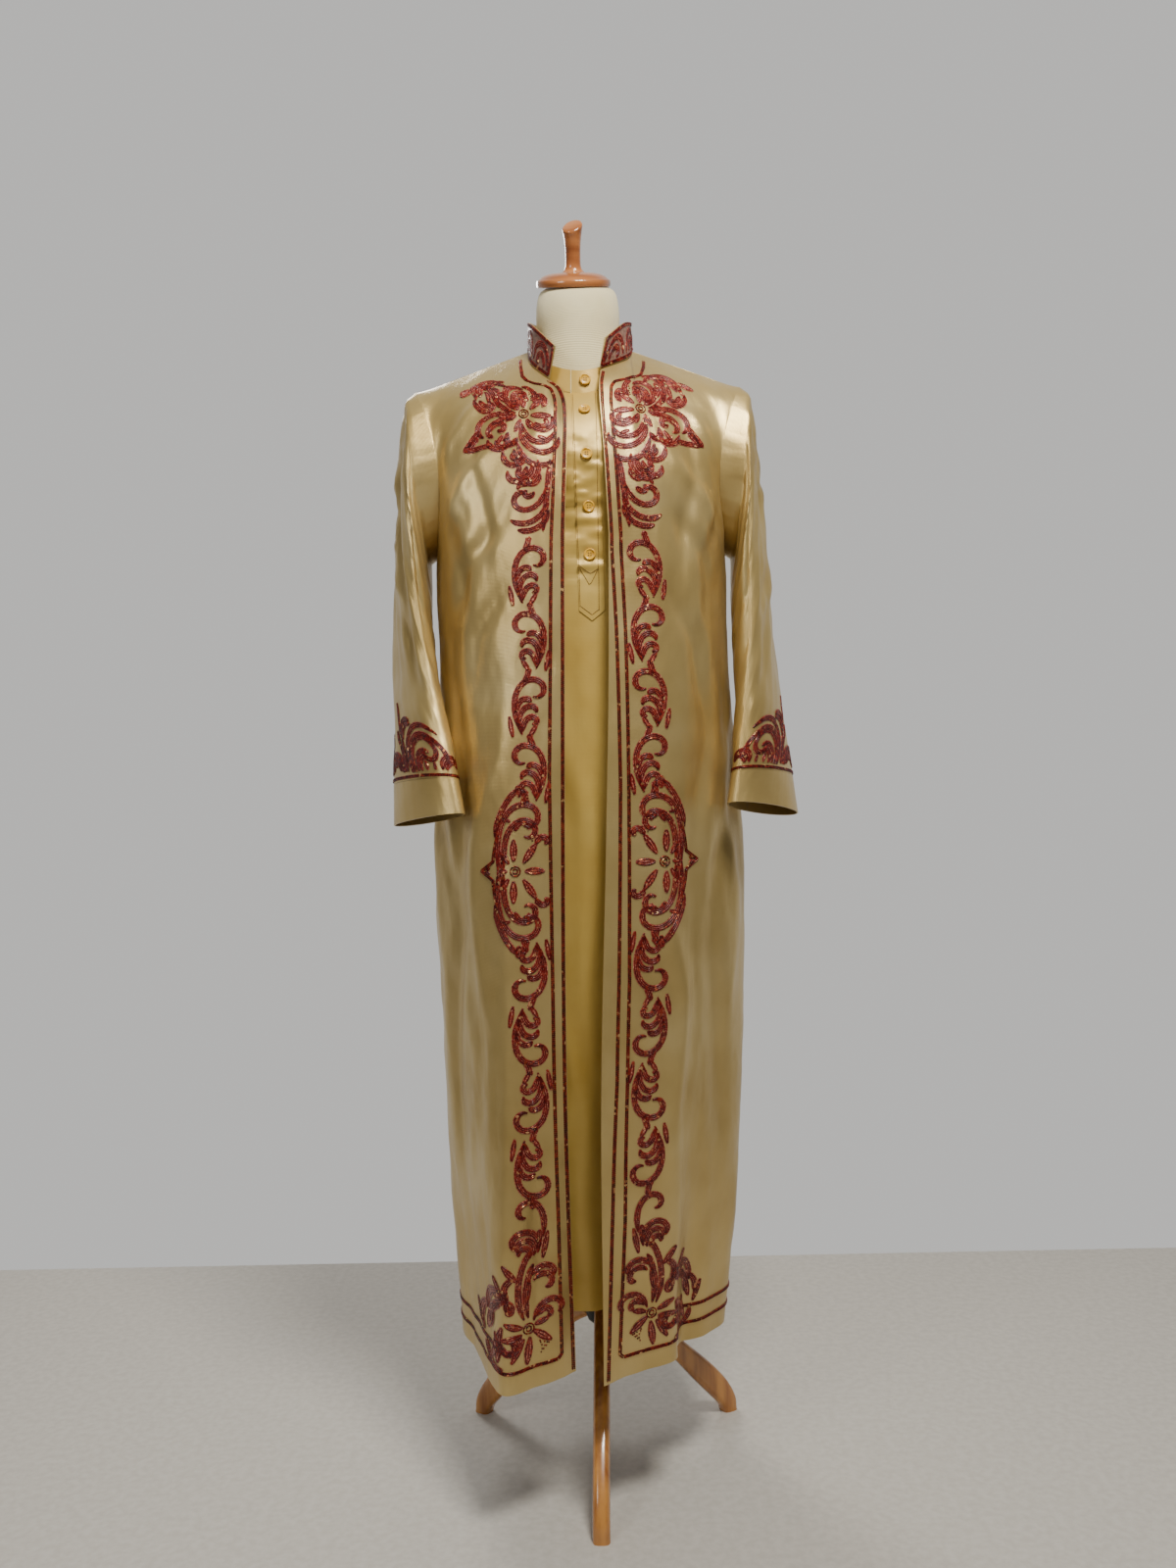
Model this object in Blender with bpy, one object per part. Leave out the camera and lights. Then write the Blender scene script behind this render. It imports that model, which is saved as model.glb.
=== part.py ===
"""Long shirt (thobe) and open embroidered satin robe, worn by a limbless dress form on a wooden tripod.

Metres, +Z up, the wearer faces -Y. The garment is modelled about the stand's axis, and the
whole model is then moved so that the origin is the centre of its footprint on the floor.
"Right" and "left" are the wearer's, so the right front has negative x.
"""

import math

import bpy
import numpy as np

# Driving sizes
ROBE_CLOTH = 0.0015
THOBE_CLOTH = 0.0012
COLLAR_CLOTH = 0.0018
SEAM_INSET = 0.00022
LIFT = 0.0003
BRAID_HEIGHT = 0.0016
BRAID_GAP = 0.15
EMBROIDERY_HEIGHT = 0.0013
PLACKET_CLOTH = 0.0012
AXIS_X = 0.005
STAND_X = 0.0118
STAND_Y = 0.005
HEM_Z = 0.184
UNDERARM_Z = 1.24
THOBE_UNDERARM_Z = 1.28
THOBE_HEM_Z = 0.249
SAMPLES = 240
SIDE_REACH = 4

# Heights at which the fold lines of a body panel are set: hem, knee, hip, waist, underarm
LEVELS = (HEM_Z, 0.52, 0.86, 1.06, UNDERARM_Z)

# One row for each fold line of a panel, from the front edge (or the wearer's right side) across:
# share of the panel's width, then x and y at the hem, knee, hip, waist and underarm
FRONT_RIGHT_FOLDS = (
    (0.00, -0.024, -0.156, -0.028, -0.161, -0.0245, -0.162, -0.021, -0.158, -0.018, -0.150),
    (0.24, -0.067, -0.192, -0.066, -0.174, -0.062, -0.166, -0.060, -0.158, -0.062, -0.146),
    (0.45, -0.113, -0.217, -0.107, -0.184, -0.104, -0.163, -0.102, -0.149, -0.108, -0.133),
    (0.62, -0.138, -0.150, -0.143, -0.136, -0.148, -0.129, -0.146, -0.117, -0.153, -0.103),
    (0.80, -0.158, -0.082, -0.172, -0.078, -0.184, -0.072, -0.180, -0.064, -0.184, -0.056),
    (0.92, -0.180, -0.022, -0.196, -0.022, -0.2040, -0.022, -0.196, -0.018, -0.1955, -0.016),
    (1.00, -0.176, 0.038, -0.195, 0.030, -0.2040, 0.026, -0.197, 0.018, -0.198, 0.012),
)
FRONT_LEFT_FOLDS = (
    (0.00, 0.0115, -0.198, 0.014, -0.190, 0.027, -0.172, 0.034, -0.160, 0.0375, -0.150),
    (0.26, 0.058, -0.162, 0.062, -0.174, 0.072, -0.166, 0.076, -0.158, 0.078, -0.145),
    (0.46, 0.104, -0.126, 0.110, -0.150, 0.114, -0.150, 0.114, -0.142, 0.117, -0.130),
    (0.60, 0.110, -0.082, 0.136, -0.118, 0.150, -0.122, 0.150, -0.114, 0.155, -0.102),
    (0.80, 0.150, -0.056, 0.176, -0.072, 0.190, -0.070, 0.184, -0.062, 0.186, -0.056),
    (0.92, 0.180, -0.010, 0.209, -0.020, 0.2145, -0.020, 0.200, -0.018, 0.199, -0.016),
    (1.00, 0.177, 0.042, 0.209, 0.032, 0.2145, 0.026, 0.201, 0.018, 0.201, 0.012),
)
BACK_FOLDS = (
    (0.00, -0.176, 0.038, -0.195, 0.030, -0.2040, 0.026, -0.197, 0.018, -0.198, 0.012),
    (0.11, -0.170, 0.100, -0.186, 0.090, -0.192, 0.080, -0.186, 0.066, -0.184, 0.056),
    (0.21, -0.140, 0.168, -0.148, 0.146, -0.156, 0.122, -0.150, 0.104, -0.150, 0.094),
    (0.31, -0.104, 0.124, -0.108, 0.130, -0.110, 0.136, -0.106, 0.124, -0.104, 0.118),
    (0.41, -0.060, 0.180, -0.062, 0.164, -0.062, 0.152, -0.060, 0.136, -0.058, 0.130),
    (0.50, -0.014, 0.138, -0.010, 0.142, -0.006, 0.148, -0.002, 0.136, 0.002, 0.130),
    (0.59, 0.036, 0.186, 0.040, 0.168, 0.044, 0.156, 0.048, 0.138, 0.052, 0.131),
    (0.69, 0.078, 0.132, 0.086, 0.136, 0.094, 0.142, 0.096, 0.128, 0.100, 0.120),
    (0.79, 0.118, 0.172, 0.136, 0.150, 0.148, 0.126, 0.146, 0.106, 0.148, 0.096),
    (0.89, 0.164, 0.108, 0.194, 0.096, 0.201, 0.084, 0.190, 0.068, 0.186, 0.058),
    (1.00, 0.177, 0.042, 0.209, 0.032, 0.2145, 0.026, 0.201, 0.018, 0.201, 0.012),
)
# The thobe hangs from its own hem height; its fold lines run from the wearer's right side to the left
THOBE_FRONT_FOLDS = (
    (0.00, -0.150, 0.020, -0.158, 0.016, -0.168, 0.012, -0.170, 0.010, -0.174, 0.008),
    (0.14, -0.140, -0.050, -0.148, -0.054, -0.156, -0.058, -0.158, -0.054, -0.160, -0.050),
    (0.28, -0.096, -0.104, -0.098, -0.112, -0.104, -0.118, -0.104, -0.110, -0.106, -0.102),
    (0.42, -0.044, -0.126, -0.044, -0.134, -0.042, -0.138, -0.040, -0.131, -0.040, -0.124),
    (0.50, 0.000, -0.132, 0.002, -0.131, 0.006, -0.136, 0.007, -0.132, 0.007, -0.126),
    (0.58, 0.036, -0.108, 0.032, -0.124, 0.040, -0.136, 0.050, -0.130, 0.052, -0.123),
    (0.72, 0.088, -0.100, 0.096, -0.114, 0.110, -0.118, 0.112, -0.110, 0.114, -0.102),
    (0.86, 0.140, -0.048, 0.152, -0.054, 0.164, -0.058, 0.164, -0.054, 0.166, -0.050),
    (1.00, 0.154, 0.020, 0.166, 0.016, 0.178, 0.012, 0.178, 0.010, 0.180, 0.008),
)
THOBE_BACK_FOLDS = (
    (0.00, -0.150, 0.020, -0.158, 0.016, -0.168, 0.012, -0.170, 0.010, -0.174, 0.008),
    (0.16, -0.138, 0.064, -0.146, 0.066, -0.156, 0.068, -0.158, 0.062, -0.158, 0.054),
    (0.34, -0.074, 0.104, -0.078, 0.112, -0.086, 0.116, -0.088, 0.106, -0.090, 0.098),
    (0.50, 0.000, 0.106, 0.002, 0.116, 0.004, 0.124, 0.005, 0.113, 0.005, 0.107),
    (0.66, 0.078, 0.104, 0.084, 0.112, 0.094, 0.116, 0.096, 0.106, 0.098, 0.098),
    (0.84, 0.142, 0.064, 0.152, 0.066, 0.164, 0.068, 0.164, 0.062, 0.164, 0.054),
    (1.00, 0.154, 0.020, 0.166, 0.016, 0.178, 0.012, 0.178, 0.010, 0.180, 0.008),
)

# Armholes: shoulder tip, underarm point, bulge to the front and back, hollow towards the body
ARMHOLES = {
    "right": dict(tip=(-0.222, 0.0, 1.466), under=(-0.198, 0.012, UNDERARM_Z), front=0.072, back=0.085,
                  hollow_front=0.022, hollow_back=0.012),
    "left": dict(tip=(0.225, 0.0, 1.466), under=(0.201, 0.012, UNDERARM_Z), front=0.072, back=0.085,
                 hollow_front=0.022, hollow_back=0.012),
}
THOBE_ARMHOLES = {
    "right": dict(tip=(-0.188, 0.0, 1.448), under=(-0.176, 0.008, THOBE_UNDERARM_Z), front=0.054, back=0.058,
                  hollow_front=0.012, hollow_back=0.008),
    "left": dict(tip=(0.194, 0.0, 1.448), under=(0.182, 0.008, THOBE_UNDERARM_Z), front=0.054, back=0.058,
                 hollow_front=0.012, hollow_back=0.008),
}
SHOULDER_NECK = {"right": (-0.066, 0.0, 1.522), "left": (0.078, 0.0, 1.520)}
THOBE_SHOULDER_NECK = {"right": (-0.0630, 0.002, 1.496), "left": (0.0720, 0.002, 1.496)}

# Front edges above the underarm: height, x, y, from the underarm to the collar's end
FRONT_EDGES = {
    "right": ((UNDERARM_Z, -0.018, -0.150), (1.30, -0.0155, -0.146), (1.35, -0.0135, -0.138),
              (1.39, -0.0125, -0.127), (1.425, -0.0150, -0.113), (1.444, -0.0225, -0.099),
              (1.457, -0.0360, -0.083)),
    "left": ((UNDERARM_Z, 0.0375, -0.150), (1.30, 0.0355, -0.146), (1.35, 0.0335, -0.138),
             (1.39, 0.0315, -0.127), (1.425, 0.0300, -0.112), (1.450, 0.0300, -0.098),
             (1.469, 0.0325, -0.083)),
}
NECKLINE_MIDDLE = {"right": (-0.0600, -0.046, 1.488), "left": (0.0700, -0.046, 1.494)}
BACK_NECK = ((-0.0470, 0.048, 1.529), (0.006, 0.070, 1.532), (0.0590, 0.048, 1.528))
THOBE_NECK_LOW = (0.007, -0.082, 1.437)
THOBE_NECK_SIDE = {"right": (-0.044, -0.060, 1.456), "left": (0.056, -0.060, 1.456)}
THOBE_BACK_NECK = ((-0.0430, 0.044, 1.500), (0.005, 0.0620, 1.501), (0.0530, 0.044, 1.500))

# Columns of a front panel: distances from the front edge for the two braids and the embroidery's start
EDGE_DISTANCES = (0.0, 0.0045, 0.0085, 0.0190, 0.0230, 0.0270)
BORDER_SHARES = (0.25, 0.50, 0.75, 1.0)
SHOULDER_MOTIF = 0.085
OUTER_SHARES = (0.30, 0.66, 1.0)
CORNER_COLUMN = 8
# Outer outline of the embroidered border: height on the panel, distance from the front edge
BORDER_OUTLINE = (
    (0.184, 0.112), (0.232, 0.120), (0.270, 0.124), (0.310, 0.116), (0.350, 0.094), (0.395, 0.064),
    (0.440, 0.062), (0.500, 0.070), (0.560, 0.060), (0.620, 0.070), (0.680, 0.062), (0.725, 0.074),
    (0.765, 0.090), (0.800, 0.092), (0.820, 0.112), (0.840, 0.092), (0.880, 0.088), (0.925, 0.070),
    (0.980, 0.064), (1.040, 0.070), (1.100, 0.060), (1.160, 0.068), (1.230, 0.060), (1.290, 0.080),
    (1.325, 0.102), (1.350, 0.136), (1.375, 0.118), (1.420, 0.116), (1.470, 0.110),
)
LOW_ROWS = (HEM_Z, 0.2075, 0.2115, 0.2310, 0.2350, 0.310, 0.395, 0.500, 0.610, 0.720, 0.785, 0.820, 0.855,
            0.925, 1.030, 1.140)
HIGH_ROWS = (0.0, 0.16, 0.32, 0.48, 0.63, 0.77, 0.900, 0.920, 1.0)
BACK_SHARES = (0.0, 0.055, 0.11, 0.21, 0.31, 0.36, 0.41, 0.50, 0.59, 0.64, 0.69, 0.79, 0.89, 0.945, 1.0)
BACK_TOP_SHARES = (0.0, 0.09, 0.18, 0.27, 0.36, 0.407, 0.453, 0.50, 0.547, 0.593, 0.64, 0.73, 0.82, 0.91, 1.0)
BACK_CORNERS = (4, 10)
THOBE_LOW_ROWS = (THOBE_HEM_Z, 0.39, 0.56, 0.78, 0.96, 1.08, 1.17)
THOBE_HIGH_ROWS = (0.0, 0.18, 0.36, 0.54, 0.70, 0.85, 1.0)
THOBE_OUTER_SHARES = (0.0, 0.10, 0.19, 0.28, 0.355)
THOBE_OUTER_TOP = (0.0, 0.165, 0.33, 0.38, 0.43)
THOBE_BACK_SHARES = (0.0, 0.10, 0.20, 0.33, 0.415, 0.50, 0.585, 0.67, 0.80, 0.90, 1.0)
THOBE_BACK_TOP = (0.0, 0.165, 0.33, 0.38, 0.44, 0.50, 0.56, 0.62, 0.67, 0.835, 1.0)

# Sleeve rings: share of the length, centre, outward half axis, forward half axis, back's share of the forward one
SLEEVE_RINGS = {
    "right": (
        (0.04, -0.2200, 0.0060, 1.3450, -0.0125, -0.0060, 0.1120, 0.0000, -0.078, 0.000, 1.10),
        (0.12, -0.2235, 0.0050, 1.3025, -0.0175, -0.0050, 0.0960, 0.0030, -0.082, 0.000, 1.04),
        (0.28, -0.2270, -0.0030, 1.2280, -0.0215, -0.0030, 0.0680, 0.0100, -0.082, 0.000, 1.00),
        (0.45, -0.2285, -0.0120, 1.1480, -0.0235, -0.0060, 0.0380, 0.0200, -0.079, 0.000, 1.00),
        (0.63, -0.2225, -0.0360, 1.0500, -0.0230, -0.0095, 0.0180, 0.0310, -0.073, -0.001, 1.00),
        (0.82, -0.2120, -0.0720, 0.9600, -0.0200, -0.0150, 0.0060, 0.0420, -0.061, 0.002, 1.00),
        (1.00, -0.2030, -0.1010, 0.8800, -0.0160, -0.0175, 0.0020, 0.0490, -0.050, 0.009, 1.00),
    ),
    "left": (
        (0.04, 0.2235, 0.0060, 1.3450, 0.0125, -0.0060, 0.1120, 0.0000, -0.078, 0.000, 1.10),
        (0.12, 0.2260, 0.0050, 1.3025, 0.0165, -0.0050, 0.0960, -0.0030, -0.082, 0.000, 1.04),
        (0.28, 0.2295, -0.0010, 1.2280, 0.0215, -0.0020, 0.0680, -0.0080, -0.082, 0.000, 1.00),
        (0.45, 0.2340, -0.0060, 1.1480, 0.0250, -0.0030, 0.0380, -0.0120, -0.080, 0.000, 1.00),
        (0.63, 0.2385, -0.0220, 1.0500, 0.0260, -0.0060, 0.0180, -0.0220, -0.075, 0.000, 1.00),
        (0.82, 0.2400, -0.0500, 0.9600, 0.0230, -0.0120, 0.0060, -0.0370, -0.064, 0.004, 1.00),
        (1.00, 0.2370, -0.0740, 0.8860, 0.0180, -0.0220, 0.0040, -0.0480, -0.046, 0.010, 1.00),
    ),
}
SLEEVE_STEPS = (0.0, 0.03, 0.10, 0.19, 0.30, 0.42, 0.55, 0.68, 0.79, 0.89)
CUFF_STEPS = (0.945, 1.0)
CUFF_BRAID = (0.87, 0.985)
THOBE_SLEEVE_SCALE = (0.62, 0.76)
THOBE_SLEEVE_STEPS = (0.0, 0.08, 0.16, 0.28, 0.44, 0.60, 0.76)
THOBE_SLEEVE_BLEND = 0.2
THOBE_SLEEVE_SHIFT = 0.15

# Stand collar: its top edge from the wearer's right front end round the back to the left one
COLLAR_TOP = ((-0.0275, -0.090, 1.499), (-0.0585, -0.040, 1.545), (-0.0645, 0.002, 1.563),
              (-0.0450, 0.050, 1.573), (0.007, 0.0690, 1.577), (0.0585, 0.050, 1.572), (0.0765, 0.002, 1.560),
              (0.0675, -0.040, 1.546), (0.0395, -0.090, 1.508))
COLLAR_RISE = 0.0017
COLLAR_BRAID = 0.14
BAND_HEIGHT = 0.031
BAND_INWARD = 0.0030
BAND_END_GAP = 0.03

# Placket: half width, its middle's x at its two ends' heights, its point, and the buttons' heights
PLACKET_HALF = 0.0165
PLACKET_LINE = ((1.145, 1.440), (0.0149, 0.0098))
PLACKET_TIP = 0.013
BUTTON_RADIUS = 0.0076
BUTTON_HEIGHT = 0.0032
BUTTON_OFFSET = 0.0023
BAND_BUTTON_RISE = 0.0050
BAND_BUTTON_INWARD = 0.0019
BUTTON_Z = (1.4085, 1.3450, 1.2790, 1.2170)

# Dress form: height, half width, front, back
FORM_RINGS = (
    (0.800, 0.146, -0.098, 0.094), (0.807, 0.155, -0.105, 0.100), (0.870, 0.160, -0.111, 0.106),
    (0.940, 0.159, -0.111, 0.104), (1.020, 0.148, -0.102, 0.089), (1.080, 0.144, -0.098, 0.083),
    (1.160, 0.150, -0.104, 0.088), (1.250, 0.159, -0.108, 0.094), (1.330, 0.163, -0.104, 0.094),
    (1.380, 0.164, -0.090, 0.086), (1.410, 0.158, -0.076, 0.078), (1.431, 0.140, -0.066, 0.071),
    (1.4475, 0.110, -0.059, 0.063), (1.4590, 0.085, -0.056, 0.059), (1.4705, 0.0655, -0.0545, 0.0555),
    (1.487, 0.0575, -0.0550, 0.0545), (1.525, 0.0550, -0.0550, 0.0540), (1.563, 0.0575, -0.0565, 0.0560),
    (1.588, 0.0560, -0.0550, 0.0550), (1.603, 0.0515, -0.0505, 0.0505), (1.6095, 0.0430, -0.0430, 0.0430),
)
FORM_SIDES = 24
# The neck's top and the cap slope forward
NECK_TILT = math.radians(21)
NECK_TOP = (-0.0014, 0.0, 1.6099)
# Turned profiles: radius, height
CAP_PROFILE = ((0.0, 0.0), (0.0495, 0.0), (0.0512, 0.0018), (0.0512, 0.0080), (0.0490, 0.0118), (0.0380, 0.0166),
               (0.0240, 0.0196), (0.0, 0.0204))
FINIAL_PROFILE = ((0.0, 0.0199), (0.0155, 0.0199), (0.0112, 0.0245), (0.0103, 0.0320), (0.0105, 0.0480),
                  (0.0116, 0.0620), (0.0132, 0.0720), (0.0139, 0.0765), (0.0118, 0.0790), (0.0, 0.0795))
FINIAL_SLANT = 0.60
FINIAL_SLANT_ANGLE = math.radians(67)
POLE_RADIUS = 0.0125
POLE_TOP = 0.7997
HUB_PROFILE = ((0.0, 0.178), (0.0150, 0.178), (0.0205, 0.183), (0.0235, 0.192), (0.0235, 0.234), (0.0210, 0.238),
               (0.0, 0.238))
TURNED_SIDES = 20
# Legs: the centre line's distance from the axis and height, and the leg's depth there
LEG_LINE = ((0.0239, 0.198, 0.030), (0.060, 0.173, 0.028), (0.118, 0.115, 0.027), (0.160, 0.072, 0.033),
            (0.189, 0.041, 0.033), (0.206, 0.018, 0.028), (0.211, 0.0, 0.023))
LEG_WIDTH = 0.022
LEG_ANGLES = {"front": -92.0, "right": 147.2, "left": 30.2}

SATIN = ((0.62, 0.49, 0.26), 0.34, 0.0)
BEADS = ((0.26, 0.03, 0.02), 0.42, 0.15)
THOBE = ((0.66, 0.47, 0.14), 0.48, 0.0)
BUTTONS = ((0.68, 0.42, 0.08), 0.30, 0.0)
JERSEY = ((0.78, 0.70, 0.50), 0.85, 0.0)
WOOD = ((0.42, 0.15, 0.04), 0.25, 0.0)
LEG_WOOD = ((0.50, 0.22, 0.06), 0.28, 0.0)
METAL = ((0.03, 0.03, 0.03), 0.40, 0.9)


def curve_through(knots, values, at):
    """A smooth curve through values at knots, read at each number in at."""
    knots, values, at = (np.asarray(a, float) for a in (knots, values, at))
    slopes = np.gradient(values, knots, axis=0)
    at = np.clip(at, knots[0], knots[-1])
    k = np.clip(np.searchsorted(knots, at, side="right") - 1, 0, len(knots) - 2)
    step = (knots[k + 1] - knots[k])[:, None]
    u = (at - knots[k])[:, None] / step
    start = (1 + 2 * u) * (1 - u) ** 2 * values[k] + u * (1 - u) ** 2 * step * slopes[k]
    end = u * u * (3 - 2 * u) * values[k + 1] - u * u * (1 - u) * step * slopes[k + 1]
    return start + end


def section(folds, z, hem=HEM_Z):
    """One horizontal row of a body panel, as SAMPLES points across its width."""
    table = np.asarray(folds, float)
    levels = (hem, *LEVELS[1:])
    lines = table[:, 1:].reshape(len(table), len(levels), 2).transpose(1, 0, 2).reshape(len(levels), -1)
    row = curve_through(levels, lines, [z])[0].reshape(len(table), 2)
    across = curve_through(table[:, 0], row, np.linspace(0, 1, SAMPLES))
    return np.column_stack([across, np.full(SAMPLES, z)])


def armhole(hole, t, side):
    """Points of an armhole from the underarm (t 0) up to the shoulder tip (t 1), on the front or back side."""
    tip, under = np.asarray(hole["tip"]), np.asarray(hole["under"])
    t = np.asarray(t, float)
    angle = math.pi * (1 - t)
    points = (tip + under) / 2 + np.cos(angle)[:, None] * (tip - under) / 2
    forward = -1 if side == "front" else 1
    points[:, 1] += forward * hole[side] * np.sin(angle)
    points[:, 0] -= math.copysign(hole["hollow_" + side], tip[0]) * np.sin(angle) ** 2
    return points


def joined(*parts):
    """Curves, each a share range and its points, joined into one curve of SAMPLES points."""
    shares = np.linspace(0, 1, SAMPLES)
    out = np.empty((SAMPLES, 3))
    for low, high, points in parts:
        inside = (shares >= low) & (shares <= high)
        places = np.linspace(0, 1, len(points))
        out[inside] = curve_through(places, points, (shares[inside] - low) / (high - low))
    return out


def yoke(bottom, top, start, end, t):
    """One row of a panel above the underarm: a patch between the rows below and above and its two side curves."""
    s = np.linspace(0, 1, SAMPLES)[:, None]
    ease = np.array([t * t * (3 - 2 * t), t ** 3, t])
    body = (1 - ease) * bottom + ease * top
    return body + (1 - s) ** SIDE_REACH * (start - body[0]) + s ** SIDE_REACH * (end - body[-1])


def at_shares(row, shares):
    places = np.linspace(0, 1, len(row))
    return np.column_stack([np.interp(shares, places, row[:, k]) for k in range(3)])


def at_distances(row, distances):
    length = np.concatenate([[0], np.cumsum(np.linalg.norm(np.diff(row, axis=0), axis=1))])
    return np.column_stack([np.interp(distances, length, row[:, k]) for k in range(3)])


def row_length(row, upto=1.0):
    part = row[: max(2, round(upto * (len(row) - 1)) + 1)]
    return np.linalg.norm(np.diff(part, axis=0), axis=1).sum()


def normals_of(points, inside, closed=False):
    """Unit normals of a grid, pointing away from the row of inside points."""
    if closed:
        across = np.roll(points, -1, 1) - np.roll(points, 1, 1)
    else:
        across = np.gradient(points, axis=1)
    along = np.gradient(points, axis=0)
    normals = np.cross(across, along)
    normals /= np.linalg.norm(normals, axis=2, keepdims=True)
    outward = (normals * (points - inside)).sum()
    return normals if outward > 0 else -normals


def axis_inside(points):
    inside = points.copy()
    inside[..., 0], inside[..., 1] = AXIS_X, 0.0
    return inside


def material(name, look):
    found = bpy.data.materials.get(name) or bpy.data.materials.new(name)
    found.use_nodes = True
    shader = found.node_tree.nodes["Principled BSDF"]
    colour, rough, metal = look
    shader.inputs["Base Color"].default_value = (*colour, 1)
    shader.inputs["Roughness"].default_value = rough
    shader.inputs["Metallic"].default_value = metal
    return found


def add_object(name, vertices, faces, look, smooth_angle=None):
    mesh = bpy.data.meshes.new(name)
    mesh.from_pydata([tuple(map(float, v)) for v in vertices], [], faces)
    mesh.validate()
    mesh.update()
    if smooth_angle is not None:
        mesh.shade_smooth()
        mesh.set_sharp_from_angle(angle=math.radians(smooth_angle))
    obj = bpy.data.objects.new(name, mesh)
    bpy.context.scene.collection.objects.link(obj)
    mesh.materials.append(material(*look))
    return obj


def cell_faces(index, cells, flip):
    """Two triangles for each grid cell, always split along the same diagonal."""
    faces = []
    for r, c in cells:
        a, b, d, e = index[r][c], index[r][c + 1], index[r + 1][c + 1], index[r + 1][c]
        faces += [(a, b, d), (a, d, e)] if not flip else [(d, b, a), (e, d, a)]
    return faces


def slab(name, low, high, cells, look, closed=False):
    """A closed solid between two grids of points, over the given cells."""
    rows, columns = low.shape[:2]
    used = {}
    wrap = columns if closed else columns + 1

    def corner(r, c):
        return used.setdefault((r, c % wrap), len(used))

    for r, c in cells:
        for dr, dc in ((0, 0), (0, 1), (1, 1), (1, 0)):
            corner(r + dr, c + dc)
    count = len(used)
    places = sorted(used, key=used.get)
    vertices = [high[p] for p in places] + [low[p] for p in places]
    index = [[used.get((r, c % wrap)) for c in range(columns + 1)] for r in range(rows)]
    top = cell_faces(index, cells, False)
    facing = np.cross(vertices[top[0][1]] - vertices[top[0][0]], vertices[top[0][2]] - vertices[top[0][0]])
    if facing @ (vertices[top[0][0]] - vertices[top[0][0] + count]) < 0:
        top = cell_faces(index, cells, True)
    faces = top + [tuple(v + count for v in reversed(f)) for f in top]
    edges = {}
    for f in top:
        for a, b in ((f[0], f[1]), (f[1], f[2]), (f[2], f[0])):
            edges[(a, b)] = edges.get((a, b), 0) + 1
    for a, b in edges:
        if (b, a) not in edges:
            faces += [(b, a, a + count), (b, a + count, b + count)]
    return add_object(name, vertices, faces, look, 35)


def all_cells(points, closed=False):
    rows, columns = points.shape[:2]
    return [(r, c) for r in range(rows - 1) for c in range(columns - (0 if closed else 1))]


def wall(name, points, normals, thickness, look, closed=False):
    return slab(name, points - thickness * normals, points, all_cells(points, closed), look, closed)


def laid_on(name, points, normals, cells, thickness, look, closed=False, lift=LIFT):
    """A strip that lies on a panel: the panel's own points, moved out."""
    low = points + lift * normals
    return slab(name, low, low + thickness * normals, cells, look, closed)


def rings_solid(name, rings, look, smooth_angle=40):
    """A closed solid from a stack of closed rings of points, with its two ends filled."""
    rings = np.asarray(rings, float)
    count, sides = rings.shape[:2]
    vertices = list(rings.reshape(-1, 3)) + [rings[0].mean(0), rings[-1].mean(0)]
    faces = []
    for r in range(count - 1):
        for c in range(sides):
            a, b = r * sides + c, r * sides + (c + 1) % sides
            faces += [(a, b, b + sides), (a, b + sides, a + sides)]
    bottom, top = count * sides, count * sides + 1
    for c in range(sides):
        faces.append(((c + 1) % sides, c, bottom))
        faces.append(((count - 1) * sides + c, (count - 1) * sides + (c + 1) % sides, top))
    corners = np.array(vertices)[np.array(faces)] - vertices[bottom]
    if np.einsum("ij,ij", corners[:, 0], np.cross(corners[:, 1], corners[:, 2])) < 0:
        faces = [f[::-1] for f in faces]
    return add_object(name, vertices, faces, look, smooth_angle)


def turned(name, profile, look, place=(STAND_X, STAND_Y, 0.0), sides=TURNED_SIDES, slant=0.0, lean=0.0):
    """A turned piece. The profile's first and last points are on the axis, which leans forward if asked."""
    angles = np.linspace(0, 2 * math.pi, sides, endpoint=False)
    length = profile[-1][1] - profile[0][1]
    rings = []
    for radius, z in profile[1:-1]:
        share = ((z - profile[0][1]) / length) ** 4
        height = z + slant * share * radius * np.cos(angles - FINIAL_SLANT_ANGLE)
        x, y = radius * np.cos(angles), radius * np.sin(angles)
        forward = y * math.cos(lean) - height * math.sin(lean)
        up = y * math.sin(lean) + height * math.cos(lean)
        rings.append(np.column_stack([x, forward, up]) + place)
    return rings_solid(name, rings, look)


def inset_column(points, column, toward, distance=SEAM_INSET):
    """Moves a panel's side column a little into the panel, to leave the seam's gap."""
    step = points[:, toward] - points[:, column]
    points[:, column] += distance * step / np.linalg.norm(step, axis=1, keepdims=True)


def inset_row(points, row, toward, distance=SEAM_INSET):
    step = points[toward] - points[row]
    points[row] += distance * step / np.linalg.norm(step, axis=1, keepdims=True)


def shared_normals(*edges):
    """Seam edges that meet get the same normals, so that their walls are cut to one mitre."""
    total = sum(normals[key] for normals, key in edges)
    total /= np.linalg.norm(total, axis=-1, keepdims=True)
    for normals, key in edges:
        normals[key] = total


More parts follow.
